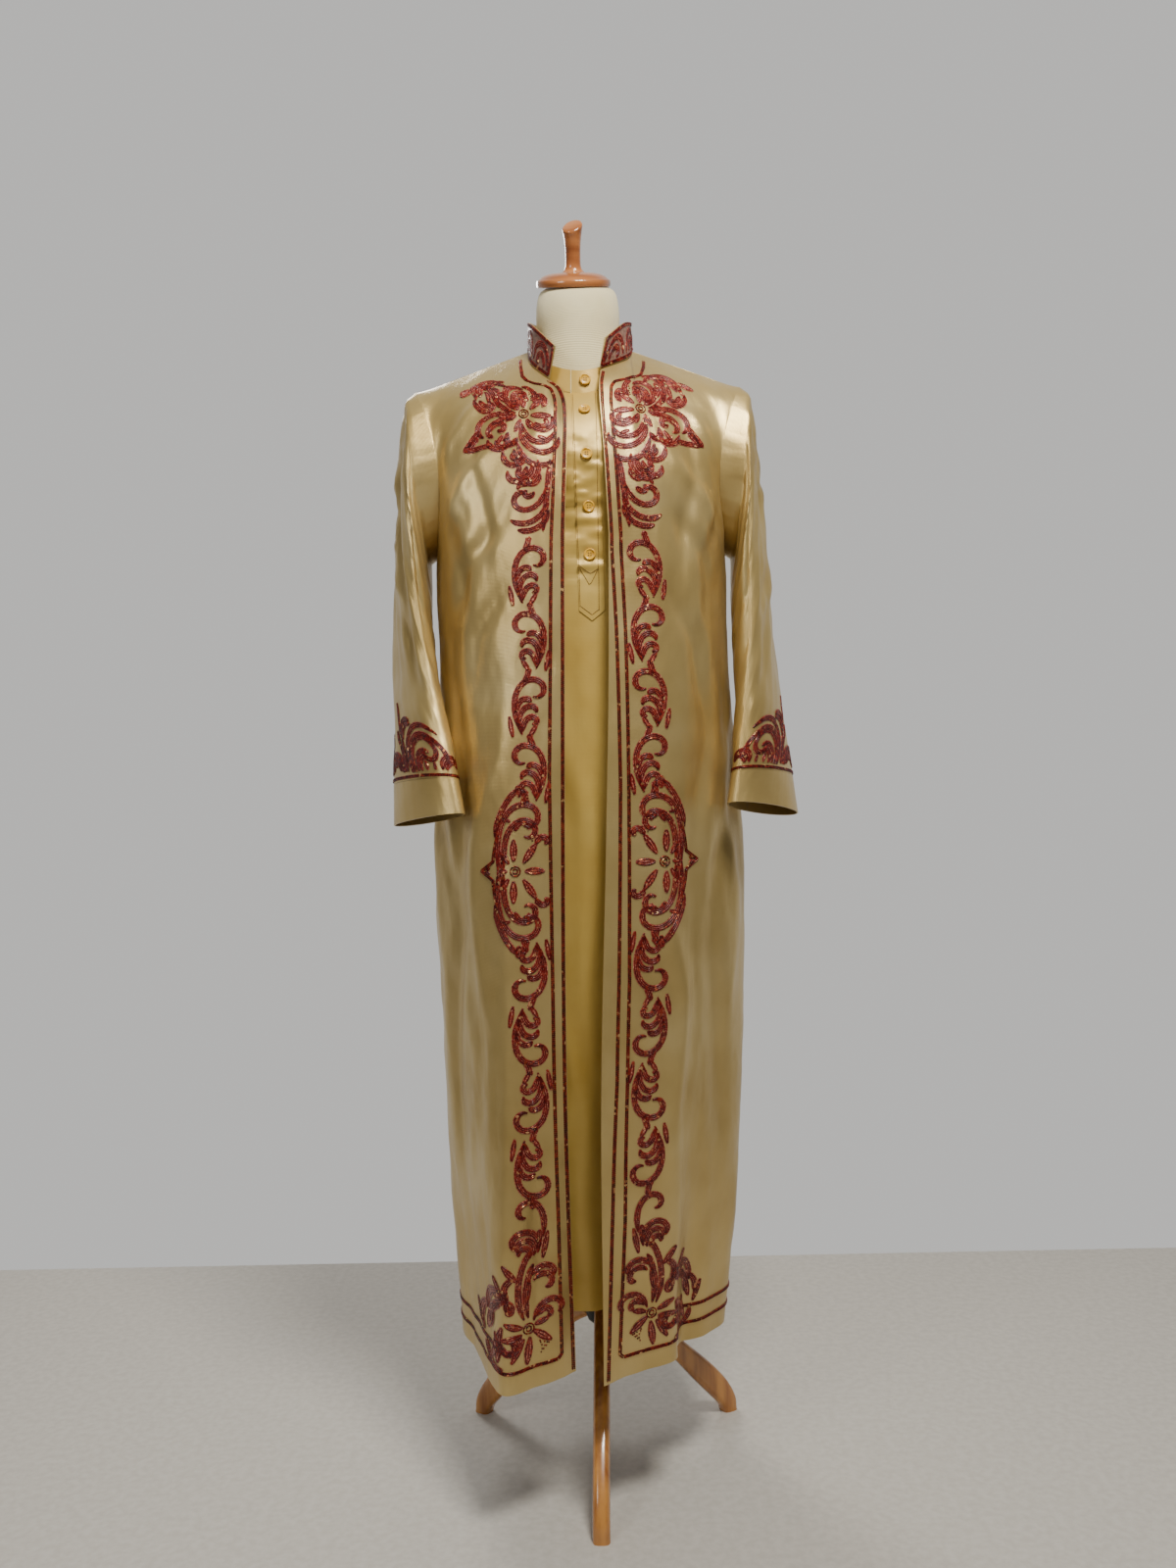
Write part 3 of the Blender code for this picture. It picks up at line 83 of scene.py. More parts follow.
# One row for each fold line of a panel, from the front edge (or the wearer's right side) across:
# share of the panel's width, then x and y at the hem, knee, hip, waist and underarm. Two panels share a seam.
RIGHT_SEAM = (-0.176, 0.038, -0.195, 0.03, -0.204, 0.026, -0.197, 0.018, -0.198, 0.012)
LEFT_SEAM = (0.177, 0.042, 0.209, 0.032, 0.2145, 0.026, 0.201, 0.018, 0.201, 0.012)
THOBE_RIGHT_SEAM = (-0.15, 0.02, -0.158, 0.016, -0.168, 0.012, -0.17, 0.01, -0.174, 0.008)
THOBE_LEFT_SEAM = (0.154, 0.02, 0.166, 0.016, 0.178, 0.012, 0.178, 0.01, 0.18, 0.008)
FRONT_FOLDS = {
    "right": (
        (0.0, -0.024, -0.156, -0.028, -0.161, -0.0245, -0.162, -0.021, -0.158, -0.018, -0.15),
        (0.24, -0.067, -0.192, -0.066, -0.174, -0.062, -0.166, -0.06, -0.158, -0.062, -0.146),
        (0.45, -0.113, -0.217, -0.107, -0.184, -0.104, -0.163, -0.102, -0.149, -0.108, -0.133),
        (0.62, -0.138, -0.15, -0.143, -0.136, -0.148, -0.129, -0.146, -0.117, -0.153, -0.103),
        (0.8, -0.158, -0.082, -0.172, -0.078, -0.184, -0.072, -0.18, -0.064, -0.184, -0.056),
        (0.92, -0.18, -0.022, -0.196, -0.022, -0.204, -0.022, -0.196, -0.018, -0.1955, -0.016),
        (1.0, *RIGHT_SEAM),
    ),
    "left": (
        (0.0, 0.0115, -0.198, 0.014, -0.19, 0.027, -0.172, 0.034, -0.16, 0.0375, -0.15),
        (0.26, 0.058, -0.162, 0.062, -0.174, 0.072, -0.166, 0.076, -0.158, 0.078, -0.145),
        (0.46, 0.104, -0.126, 0.11, -0.15, 0.114, -0.15, 0.114, -0.142, 0.117, -0.13),
        (0.6, 0.11, -0.082, 0.136, -0.118, 0.15, -0.122, 0.15, -0.114, 0.155, -0.102),
        (0.8, 0.15, -0.056, 0.176, -0.072, 0.19, -0.07, 0.184, -0.062, 0.186, -0.056),
        (0.92, 0.18, -0.01, 0.209, -0.02, 0.2145, -0.02, 0.2, -0.018, 0.199, -0.016),
        (1.0, *LEFT_SEAM),
    ),
}
BACK_FOLDS = (
    (0.0, *RIGHT_SEAM),
    (0.11, -0.17, 0.1, -0.186, 0.09, -0.192, 0.08, -0.186, 0.066, -0.184, 0.056),
    (0.21, -0.14, 0.168, -0.148, 0.146, -0.156, 0.122, -0.15, 0.104, -0.15, 0.094),
    (0.31, -0.104, 0.124, -0.108, 0.13, -0.11, 0.136, -0.106, 0.124, -0.104, 0.118),
    (0.41, -0.06, 0.18, -0.062, 0.164, -0.062, 0.152, -0.06, 0.136, -0.058, 0.13),
    (0.5, -0.014, 0.138, -0.01, 0.142, -0.006, 0.148, -0.002, 0.136, 0.002, 0.13),
    (0.59, 0.036, 0.186, 0.04, 0.168, 0.044, 0.156, 0.048, 0.138, 0.052, 0.131),
    (0.69, 0.078, 0.132, 0.086, 0.136, 0.094, 0.142, 0.096, 0.128, 0.1, 0.12),
    (0.79, 0.118, 0.172, 0.136, 0.15, 0.148, 0.126, 0.146, 0.106, 0.148, 0.096),
    (0.89, 0.164, 0.108, 0.194, 0.096, 0.201, 0.084, 0.19, 0.068, 0.186, 0.058),
    (1.0, *LEFT_SEAM),
)
THOBE_FOLDS = {
    "front": (
        (0.0, *THOBE_RIGHT_SEAM),
        (0.14, -0.14, -0.05, -0.148, -0.054, -0.156, -0.058, -0.158, -0.054, -0.16, -0.05),
        (0.28, -0.096, -0.104, -0.098, -0.112, -0.104, -0.118, -0.104, -0.11, -0.106, -0.102),
        (0.42, -0.044, -0.126, -0.044, -0.134, -0.042, -0.138, -0.04, -0.131, -0.04, -0.124),
        (0.5, 0.0, -0.132, 0.002, -0.131, 0.006, -0.136, 0.007, -0.132, 0.007, -0.126),
        (0.58, 0.036, -0.108, 0.032, -0.124, 0.04, -0.136, 0.05, -0.13, 0.052, -0.123),
        (0.72, 0.088, -0.1, 0.096, -0.114, 0.11, -0.118, 0.112, -0.11, 0.114, -0.102),
        (0.86, 0.14, -0.048, 0.152, -0.054, 0.164, -0.058, 0.164, -0.054, 0.166, -0.05),
        (1.0, *THOBE_LEFT_SEAM),
    ),
    "back": (
        (0.0, *THOBE_RIGHT_SEAM),
        (0.16, -0.138, 0.064, -0.146, 0.066, -0.156, 0.068, -0.158, 0.062, -0.158, 0.054),
        (0.34, -0.074, 0.104, -0.078, 0.112, -0.086, 0.116, -0.088, 0.106, -0.09, 0.098),
        (0.5, 0.0, 0.106, 0.002, 0.116, 0.004, 0.124, 0.005, 0.113, 0.005, 0.107),
        (0.66, 0.078, 0.104, 0.084, 0.112, 0.094, 0.116, 0.096, 0.106, 0.098, 0.098),
        (0.84, 0.142, 0.064, 0.152, 0.066, 0.164, 0.068, 0.164, 0.062, 0.164, 0.054),
        (1.0, *THOBE_LEFT_SEAM),
    ),
}

# Armholes: shoulder tip, underarm point, bulge to the front and back, hollow towards the body
ARMHOLES = {
    "right": dict(tip=(-0.222, 0.0, 1.466), under=(-0.198, 0.012, UNDERARM_Z), front=0.072, back=0.085,
                  hollow_front=0.022, hollow_back=0.012),
    "left": dict(tip=(0.225, 0.0, 1.466), under=(0.201, 0.012, UNDERARM_Z), front=0.072, back=0.085,
                 hollow_front=0.022, hollow_back=0.012),
}
THOBE_ARMHOLES = {
    "right": dict(tip=(-0.188, 0.0, 1.448), under=(-0.176, 0.008, THOBE_UNDERARM_Z), front=0.054, back=0.058,
                  hollow_front=0.012, hollow_back=0.008),
    "left": dict(tip=(0.194, 0.0, 1.448), under=(0.182, 0.008, THOBE_UNDERARM_Z), front=0.054, back=0.058,
                 hollow_front=0.012, hollow_back=0.008),
}
SHOULDER_NECK = {"right": (-0.066, 0.0, 1.522), "left": (0.078, 0.0, 1.52)}
THOBE_SHOULDER_NECK = {"right": (-0.063, 0.002, 1.496), "left": (0.072, 0.002, 1.496)}

# Front edges above the underarm: height, x, y, from the underarm to the collar's end
FRONT_EDGES = {
    "right": ((UNDERARM_Z, -0.018, -0.15), (1.3, -0.0155, -0.146), (1.35, -0.0135, -0.138),
              (1.39, -0.0125, -0.127), (1.425, -0.015, -0.113), (1.444, -0.0225, -0.099),
              (1.457, -0.036, -0.083)),
    "left": ((UNDERARM_Z, 0.0375, -0.15), (1.3, 0.0355, -0.146), (1.35, 0.0335, -0.138),
             (1.39, 0.0315, -0.127), (1.425, 0.03, -0.112), (1.45, 0.03, -0.098),
             (1.469, 0.0325, -0.083)),
}
NECKLINE_MIDDLE = {"right": (-0.06, -0.046, 1.488), "left": (0.07, -0.046, 1.494)}
BACK_NECK = ((-0.047, 0.048, 1.529), (0.006, 0.07, 1.532), (0.059, 0.048, 1.528))
THOBE_NECK_FRONT = ((-0.044, -0.06, 1.456), (0.007, -0.082, 1.437), (0.056, -0.06, 1.456))
THOBE_NECK_BACK = ((-0.043, 0.044, 1.5), (0.005, 0.062, 1.501), (0.053, 0.044, 1.5))

# Sleeve rings: share of the length, centre, outward half axis, forward half axis, and how deep the back is
# beside the front
SLEEVE_RINGS = {
    "right": (
        (0.04, -0.22, 0.006, 1.345, -0.0125, -0.006, 0.112, 0.0, -0.078, 0.0, 1.1),
        (0.12, -0.2235, 0.005, 1.3025, -0.0175, -0.005, 0.096, 0.003, -0.082, 0.0, 1.04),
        (0.28, -0.227, -0.003, 1.228, -0.0215, -0.003, 0.068, 0.01, -0.082, 0.0, 1.0),
        (0.45, -0.2285, -0.012, 1.148, -0.0235, -0.006, 0.038, 0.02, -0.079, 0.0, 1.0),
        (0.63, -0.2225, -0.036, 1.05, -0.023, -0.0095, 0.018, 0.031, -0.073, -0.001, 1.0),
        (0.82, -0.212, -0.072, 0.96, -0.02, -0.015, 0.006, 0.042, -0.061, 0.002, 1.0),
        (1.0, -0.203, -0.101, 0.88, -0.016, -0.0175, 0.002, 0.049, -0.05, 0.009, 1.0),
    ),
    "left": (
        (0.04, 0.2235, 0.006, 1.345, 0.0125, -0.006, 0.112, 0.0, -0.078, 0.0, 1.1),
        (0.12, 0.226, 0.005, 1.3025, 0.0165, -0.005, 0.096, -0.003, -0.082, 0.0, 1.04),
        (0.28, 0.2295, -0.001, 1.228, 0.0215, -0.002, 0.068, -0.008, -0.082, 0.0, 1.0),
        (0.45, 0.234, -0.006, 1.148, 0.025, -0.003, 0.038, -0.012, -0.08, 0.0, 1.0),
        (0.63, 0.2385, -0.022, 1.05, 0.026, -0.006, 0.018, -0.022, -0.075, 0.0, 1.0),
        (0.82, 0.24, -0.05, 0.96, 0.023, -0.012, 0.006, -0.037, -0.064, 0.004, 1.0),
        (1.0, 0.237, -0.074, 0.886, 0.018, -0.022, 0.004, -0.048, -0.046, 0.01, 1.0),
    ),
}
CUFF_START = 0.89
THOBE_SLEEVE = dict(outward=0.62, forward=0.76, blend=0.2, shift=0.15, end=0.76)
# The collar's top edge, and how far collar and neckband stand off the seam below them
COLLAR_TOP = ((-0.0275, -0.09, 1.499), (-0.0585, -0.04, 1.545), (-0.0645, 0.002, 1.563),
              (-0.045, 0.05, 1.573), (0.007, 0.069, 1.577), (0.0585, 0.05, 1.572),
              (0.0765, 0.002, 1.56),
              (0.0675, -0.04, 1.546), (0.0395, -0.09, 1.508))
COLLAR_RISE = 0.0009
COLLAR_HEIGHT = 0.042
BAND_HEIGHT = 0.031
BAND_INWARD = 0.003
BAND_END_GAP = 0.0014
BAND_CLOTH = 0.0014

# The buttoned strip: half its width, its point, its height above the cloth, its cloth, and its middle line as
# heights and x
PLACKET_HALF = 0.0165
PLACKET_TIP = 0.013
PLACKET_LIFT = 0.0012
PLACKET_CLOTH = 0.0009
PLACKET_LINE = ((1.145, 1.44), (0.0149, 0.0098))
# Its thread, how far in that lies, and the bar and V sewn across it, with their inset
THREAD, THREAD_PITCH, THREAD_INSET = 0.0006, 0.0034, 0.0018
PLACKET_BAR, PLACKET_V, BAR_INSET = 1.192, 0.015, 0.002
# Where the thobe's small crosswise folds lie, and how deep they are
PUCKER_MIDDLE, PUCKER_REACH, PUCKER_SPAN, PUCKER_DEPTH = 0.235, 0.075, (1.17, 1.4), 0.0042
# Buttons: radius, height, heights of the four on the strip, and the turned profile as shares of the first two
BUTTON_RADIUS, BUTTON_HEIGHT = 0.0076, 0.0032
BUTTON_Z = (1.4085, 1.345, 1.279, 1.217)
BUTTON_PROFILE = ((0.7, 0.0), (0.92, 0.06), (1.0, 0.34), (1.0, 0.62), (0.96, 0.86), (0.9, 0.98),
                  (0.84, 1.0),
                  (0.77, 0.94), (0.7, 0.78), (0.62, 0.68), (0.45, 0.64), (0.2, 0.64))
# Their thread holes: height above the cloth, distance from the middle, radius
HOLE_Z, HOLE_OUT, HOLE_RADIUS = 0.00275, 0.0021, 0.00085

# Creases of each panel. Each row: distance across and height of one end, the same of the other end, the half
# width of the crease and its depth, out if positive. On a sleeve the distance counts from its outer line.
ROBE_CREASES = {
    "right": ((0.07, 1.3, 0.165, 1.15, 0.013, -0.005), (0.09, 1.365, 0.19, 1.255, 0.012, 0.0045),
              (0.075, 1.215, 0.14, 1.04, 0.014, -0.0045), (0.12, 1.42, 0.195, 1.35, 0.01, 0.003),
              (0.15, 1.2, 0.175, 0.7, 0.016, -0.005), (0.105, 1.05, 0.12, 0.45, 0.014, 0.004),
              (0.2, 0.95, 0.205, 0.3, 0.018, -0.005), (0.135, 1.38, 0.1, 1.2, 0.011, -0.004),
              (0.165, 1.33, 0.12, 1.15, 0.012, 0.004), (0.235, 1.1, 0.225, 0.6, 0.014, 0.004)),
    "left": ((0.08, 1.29, 0.17, 1.17, 0.013, -0.005), (0.085, 1.35, 0.185, 1.24, 0.012, 0.0045),
             (0.09, 1.19, 0.15, 1.01, 0.014, -0.0045), (0.11, 1.41, 0.19, 1.345, 0.01, 0.003),
             (0.12, 1.2, 0.14, 0.65, 0.016, -0.005), (0.09, 0.9, 0.105, 0.35, 0.014, 0.004),
             (0.185, 1.0, 0.19, 0.35, 0.018, -0.005), (0.13, 1.38, 0.1, 1.18, 0.011, -0.004),
             (0.16, 1.34, 0.125, 1.14, 0.012, 0.004), (0.215, 1.05, 0.21, 0.55, 0.014, 0.004)),
    "back": ((0.12, 1.25, 0.11, 0.6, 0.016, 0.005), (0.2, 1.15, 0.19, 0.4, 0.018, -0.005),
             (0.29, 1.2, 0.3, 0.5, 0.016, 0.005), (0.38, 1.25, 0.4, 0.55, 0.018, -0.005),
             (0.46, 1.1, 0.48, 0.4, 0.016, 0.004), (0.25, 1.38, 0.33, 1.3, 0.014, -0.003)),
}
SLEEVE_CREASES = {
    "right": ((-0.02, 0.46, -0.008, 0.1, 0.011, -0.005), (0.02, 0.48, 0.034, 0.14, 0.009, 0.004),
              (0.045, 0.42, 0.052, 0.12, 0.01, -0.005), (-0.048, 0.44, -0.04, 0.08, 0.011, 0.004),
              (-0.03, 0.36, 0.058, 0.27, 0.008, -0.004), (-0.025, 0.29, 0.06, 0.21, 0.008, 0.0035),
              (0.062, 0.4, 0.0, 0.33, 0.008, 0.0035), (0.028, 0.25, 0.062, 0.13, 0.008, -0.0035),
              (-0.06, 0.32, 0.015, 0.23, 0.009, 0.003), (0.1, 0.44, 0.11, 0.12, 0.011, -0.004),
              (-0.1, 0.42, -0.09, 0.15, 0.011, -0.004)),
    "left": ((-0.024, 0.45, -0.012, 0.12, 0.011, -0.005), (0.018, 0.47, 0.03, 0.1, 0.009, 0.004),
             (0.048, 0.43, 0.054, 0.14, 0.01, -0.005), (-0.052, 0.42, -0.044, 0.1, 0.011, 0.004),
             (-0.028, 0.38, 0.055, 0.29, 0.008, -0.004), (-0.022, 0.27, 0.062, 0.19, 0.008, 0.0035),
             (0.064, 0.38, 0.004, 0.31, 0.008, 0.0035), (0.03, 0.23, 0.06, 0.12, 0.008, -0.0035),
             (-0.058, 0.3, 0.018, 0.21, 0.009, 0.003), (0.105, 0.42, 0.108, 0.14, 0.011, -0.004),
             (-0.098, 0.44, -0.092, 0.13, 0.011, -0.004)),
}
THOBE_FRONT_CREASES = (
    (0.21, 1.15, 0.2, 0.7, 0.012, 0.003), (0.25, 1.1, 0.26, 0.5, 0.014, 0.004),
    (0.18, 0.9, 0.17, 0.35, 0.014, 0.004), (0.23, 0.75, 0.235, 0.3, 0.012, 0.003),
    (0.215, 1.318, 0.15, 1.335, 0.006, 0.0022), (0.215, 1.3, 0.16, 1.3, 0.005, 0.002),
    (0.255, 1.325, 0.315, 1.345, 0.006, 0.0022), (0.255, 1.296, 0.31, 1.288, 0.005, 0.002),
    (0.215, 1.252, 0.15, 1.245, 0.005, 0.002), (0.255, 1.246, 0.315, 1.236, 0.006, 0.0022),
    (0.215, 1.225, 0.16, 1.205, 0.006, 0.0022), (0.255, 1.205, 0.31, 1.185, 0.006, 0.002),
)
THOBE_BACK_CREASES = ((0.2, 1.2, 0.19, 0.7, 0.015, 0.004), (0.3, 1.1, 0.31, 0.5, 0.015, 0.004))

# Noise on top of the creases: seed, size, depth, stretch up the cloth
ROBE_RUMPLES = ((0, 0.065, 0.0036, 2.5), (10, 0.027, 0.0016, 2.2), (20, 0.012, 0.0004, 1.3))
SLEEVE_RUMPLES = ((20, 0.045, 0.0034, 2.5), (21, 0.018, 0.0012, 1.5))
THOBE_RUMPLES = {"front": (3, 0.05, 0.0014), "back": (4, 0.06, 0.002)}
# How far the thobe's cloth lies out from its solid
THOBE_RISE = 0.0008
# How far the side seam is drawn in, and over what width
SEAM_PINCH, SEAM_REACH = 0.0009, 0.0035

# Dress form: height, half width, front, back
FORM_RINGS = (
    (0.8, 0.146, -0.098, 0.094), (0.807, 0.155, -0.105, 0.1), (0.87, 0.16, -0.111, 0.106),
    (0.94, 0.159, -0.111, 0.104), (1.02, 0.148, -0.102, 0.089), (1.08, 0.144, -0.098, 0.083),
    (1.16, 0.15, -0.104, 0.088), (1.25, 0.159, -0.108, 0.094), (1.33, 0.163, -0.104, 0.094),
    (1.38, 0.164, -0.09, 0.086), (1.41, 0.158, -0.076, 0.078), (1.431, 0.14, -0.066, 0.071),
    (1.4475, 0.11, -0.059, 0.063), (1.459, 0.085, -0.056, 0.059), (1.4705, 0.0655, -0.0545, 0.0555),
    (1.487, 0.0575, -0.055, 0.0545), (1.525, 0.055, -0.055, 0.054), (1.563, 0.0575, -0.0565, 0.056),
    (1.588, 0.056, -0.055, 0.055), (1.603, 0.0515, -0.0505, 0.0505), (1.6095, 0.043, -0.043, 0.043),
)
NECK_TILT = math.radians(21)
NECK_TOP = (-0.0014, 0.0, 1.6099)
# Turned profiles: radius, height
CAP_PROFILE = ((0.0, 0.0002), (0.0485, 0.0002), (0.0504, 0.0008), (0.0512, 0.0022), (0.0513, 0.005),
               (0.0512, 0.0078), (0.0501, 0.0094), (0.0485, 0.0102), (0.0473, 0.0112), (0.044, 0.014),
               (0.038, 0.0168), (0.03, 0.0186), (0.02, 0.0194), (0.0, 0.0196))
FINIAL_PROFILE = ((0.0, 0.0199), (0.0158, 0.0199), (0.0138, 0.0216), (0.0118, 0.024), (0.0107, 0.028),
                  (0.0103, 0.034), (0.0105, 0.048), (0.011, 0.056), (0.012, 0.065), (0.0132, 0.072),
                  (0.0139, 0.0755), (0.0136, 0.0778), (0.0122, 0.0791), (0.0095, 0.0795), (0.0, 0.0795))
FINIAL_SLANT = 0.6
FINIAL_SLANT_ANGLE = math.radians(67)
POLE_PROFILE = ((0.0, 0.2383), (0.0125, 0.2383), (0.0125, 0.7997), (0.0, 0.7997))
HUB_PROFILE = ((0.0, 0.178), (0.015, 0.178), (0.0205, 0.183), (0.0235, 0.192), (0.0235, 0.234),
               (0.021, 0.238), (0.0, 0.238))
# Legs: the centre line's distance from the axis and height, and the leg's depth there
LEG_LINE = ((0.0239, 0.198, 0.03), (0.06, 0.173, 0.028), (0.118, 0.115, 0.027), (0.16, 0.072, 0.033),
            (0.189, 0.041, 0.033), (0.206, 0.018, 0.028), (0.211, 0.0, 0.023))
LEG_WIDTH = 0.022
LEG_ANGLES = {"front": -92.0, "right": 147.2, "left": 30.2}

# Beadwork. Lengths in its stroke tables are millimetres and angles degrees.
BEAD_RADIUS = 0.0012
SCROLL_BEAD = 0.0013
BEAD_PITCH = 0.0024
SCROLL_PITCH = 0.0026
WAIST_SHARE = 0.62
ROW_GAP = 0.0045
STITCH_EDGE = 0.0019
ROPE_GAP = 0.0023
HEM_LINE = 0.2095
UPPER_HEM_LINE = 0.233
NECK_LINE = 1.4495

# The bead lines of a front: height, distance from its edge as seen from straight ahead
EDGE_LINES = {
    "right": ((0.187, 0.003), (1.4, 0.003), (1.43, 0.0034), (1.4545, 0.0042)),
    "left": ((0.187, 0.005), (0.38, 0.013), (0.552, 0.0195), (0.676, 0.02), (0.923, 0.0168),
             (1.12, 0.0096),
             (1.22, 0.0042), (1.374, 0.003), (1.45, 0.0034), (1.4665, 0.004)),
}
INNER_LINES = {
    "right": ((HEM_LINE, 0.0166), (0.38, 0.0152), (0.676, 0.0164), (0.93, 0.0195), (1.22, 0.0174),
              (1.295, 0.016),
              (1.4, 0.015), (1.43, 0.0135), (1.44, 0.0135), (1.446, 0.017), (1.452, 0.0255),
              (1.467, 0.0356),
              (1.488, 0.0388), (1.504, 0.04)),
    "left": ((HEM_LINE, 0.02), (0.38, 0.029), (0.552, 0.0325), (0.676, 0.033), (0.923, 0.0272),
             (1.12, 0.021),
             (1.22, 0.0158), (1.374, 0.014), (1.42, 0.0145), (1.441, 0.016), (1.449, 0.0205),
             (1.456, 0.039),
             (1.468, 0.0538), (1.486, 0.0588), (1.5, 0.06)),
}
# How much higher a front's border sits at the chest, the waist and the vine's lower end
BORDER_RISE = {"right": (0.0, 0.0, 0.0), "left": (0.0045, 0.0086, 0.011)}
# How far the border lies beyond its usual distance from the edge, by height
BORDER_SHIFT = {
    "right": ((0.0, 0.0), (2.0, 0.0)),
    "left": ((0.195, 0.003), (0.38, 0.011), (0.552, 0.015), (0.676, 0.015), (0.923, 0.01), (1.12, 0.005),
             (1.22, 0.0), (1.374, -0.003), (1.45, -0.005)),
}
# Where the upper hem line starts on a front
UPPER_HEM_START = 0.108

# A stroke: where it starts, across and up from its motif's middle, its heading and length, and how far it
# turns, first steadily and then more and more. A leaf: the same first four, and its width.
# One lean of the vine, away from the front edge: its stem with the hook, the crescents inside it, the link to
# the next lean, then its pods
VINE_STROKES = ((0, 0, 66, 124, 45, 285), (0, 3, 92, 42, 60, 260), (4, 10, 84, 47, 65, 150),
                (8, 28, 90, 32, 78, 90), (-2, 66, 118, 20, -20, 0))
VINE_LEAVES = ((12, -3, 80, 27, 7), (-9, -2, 122, 17, 7))
VINE_MIDDLE = 0.045
VINE_SWING = 0.0085
VINE_STEP = 0.08
UPPER_VINE = (0.903, 1.236)
LOWER_VINE = (0.727, 0.402)

# Chest, about its flower: plume, shoulder arcs, side spiral and tip, scallops, drops and a comb by the edge
CHEST_STROKES = (
    (10, 2, 15, 88, 150, 40), (9, 6, 33, 64, 150, 60), (7, 9, 50, 44, 130, 100), (5, 11, 72, 27, 110, 140),
    (60, 30, 104, 78, 90, 90), (53, 35, 112, 48, 70, 170), (62, 32, -80, 48, -120, -130),
    (55, 29, -95, 26, -90, -180),
    (36, 46, 100, 22, 60, 170),
    (10, -2, 22, 78, -60, -135), (13, -8, 10, 54, -50, -150), (45, -24, 100, 42, 150, 200),
    (58, -17, -52, 36, -5, 0), (78, -45, 172, 36, 10, 0), (60, -27, -50, 20, 0, 0),
    (47, -33, -95, 48, -150, -70), (36, -36, -95, 34, -160, -170),
    (26, -52, -85, 50, -140, -70), (15, -56, -100, 26, -120, -190), (19, -79, -85, 38, -150, -80),
    (-8, -11, -105, 52, -150, -70), (-15, -14, -112, 28, -150, -130), (2, -14, -92, 64, -110, -70),
    (5, -20, -92, 84, -112, -80), (7, -42, -98, 66, -92, -40), (12, -50, -98, 34, -40, 60),
    (-19, -66, -110, 58, 120, 70), (-12, -70, -105, 40, 120, 130), (-5, -74, -100, 25, 120, 170),
    (-35, -66, -87, 94, 2, 0), (-31, -100, -88, 90, 130, 210), (-34, -116, -88, 68, 110, 20),
    (-35, -132, -86, 54, 110, 0), (-16, -108, -70, 22, 130, 160),
    (-14, 14, 118, 34, -50, -60), (-24, 8, 130, 26, -60, -120), (20, -26, -70, 30, -90, -160),
    (30, 12, 60, 34, 90, 90), (-22, -84, -95, 30, 100, 160), (8, -34, -70, 24, 60, 160),
)
CHEST_LEAVES = (
    (0, 9, 92, 26, 10), (-8, 6, 140, 24, 9), (-9, -3, 186, 27, 10), (-4, -8, 250, 16, 8),
    (4, -8, 292, 20, 8),
    (9, -3, 345, 20, 8), (6, 6, 45, 14, 8), (54, 52, -28, 25, 9), (22, 20, 60, 16, 7), (44, 22, 100, 22, 7),
    (27, -30, -60, 16, 7), (34, 0, 200, 16, 7), (-18, -34, 200, 14, 6), (0, -94, -60, 12, 6),
)
# Single beads in a triangle: two of its corners and its count of rows
CHEST_DOTS = ((-13, 20), (-36, 34), 7)
CHEST = (0.056, 1.4035)

# Medallion at the waist, about its flower: the upper half, mirrored downwards for the lower one
MEDAL_STROKES = (
    (22, 0, 88, 150, 10, 300), (14.5, 0, 89, 116, 10, 310), (26, 42, 95, 70, 42, 0),
    (-26, 33, 100, 27, 120, 170),
    (-9, 82, 112, 20, -20, 0), (-4, 92, 100, 16, -30, 0), (0, 50, 100, 24, 60, 190),
)
MEDAL_LINES = ((21, 50, -72, 40, -15, 0), (27, 13, -38, 22, 0, 0), (33, 5, -50, 7, 0, 0))
MEDAL_LEAVES = ((2, 12, 90, 28, 10), (-10, 10, 124, 30, 10), (8, 9, 60, 17, 7), (18, 3, 86, 24, 6),
                (-18, 52, 60, 15, 6), (6, 62, 20, 14, 6))
MEDAL_PETALS = ((-12, 0, 180, 25, 10), (10, 0, 0, 11, 7))
MEDAL_DOTS = ((-22, 44), (-34, 16), 4)
MEDAL = (0.0625, 0.8155)

# Corner at the hem, about its flower: hook, nested crescents, curls, a stem, a spray towards the side, petals
CORNER_STROKES = (
    (-20, 106, 104, 86, -60, -245), (-13, 88, 112, 68, -170, -80), (-8, 86, 112, 47, -150, -120),
    (-3, 84, 110, 30, -140, -130), (-4, 62, 125, 42, 110, 70), (-7, 56, 132, 42, 150, 110),
    (5, 12, 68, 88, 60, 0),
    (0, 13, 75, 66, 45, 0), (-6, 8, 105, 60, 100, 140), (-10, 12, 120, 30, 110, 170),
    (16, 64, -20, 26, -70, -60),
    (52, 12, 90, 60, 30, 180), (44, 18, 95, 52, 120, 190), (42, -4, -92, 62, -160, -120),
    (34, -12, -95, 34, -150, -140), (54, -24, -85, 36, -90, -60), (46, -2, 75, 40, 60, 30),
    (-14, 92, 100, 24, -10, 0),
    (60, -6, 80, 30, 40, 60), (26, 22, 100, 34, -60, -150),
)
CORNER_LEAVES = (
    (-19, 80, 103, 34, 8), (2, 30, 98, 30, 8), (13, 60, 48, 26, 9), (52, -10, 104, 34, 10),
    (46, -36, 108, 44, 10),
    (40, -38, 98, 36, 9), (58, -18, 70, 30, 8), (-5, -3, 218, 28, 10), (-1, -10, 278, 32, 10),
    (6, -10, 302, 30, 9),
    (7, 3, 18, 24, 9), (8, -5, 350, 26, 9), (-7, 3, 165, 18, 8), (34, 46, 60, 18, 7),
)
CORNER_DOTS = ((-14, -18), (-30, -34), 5)
CORNER = (0.0552, 0.256)

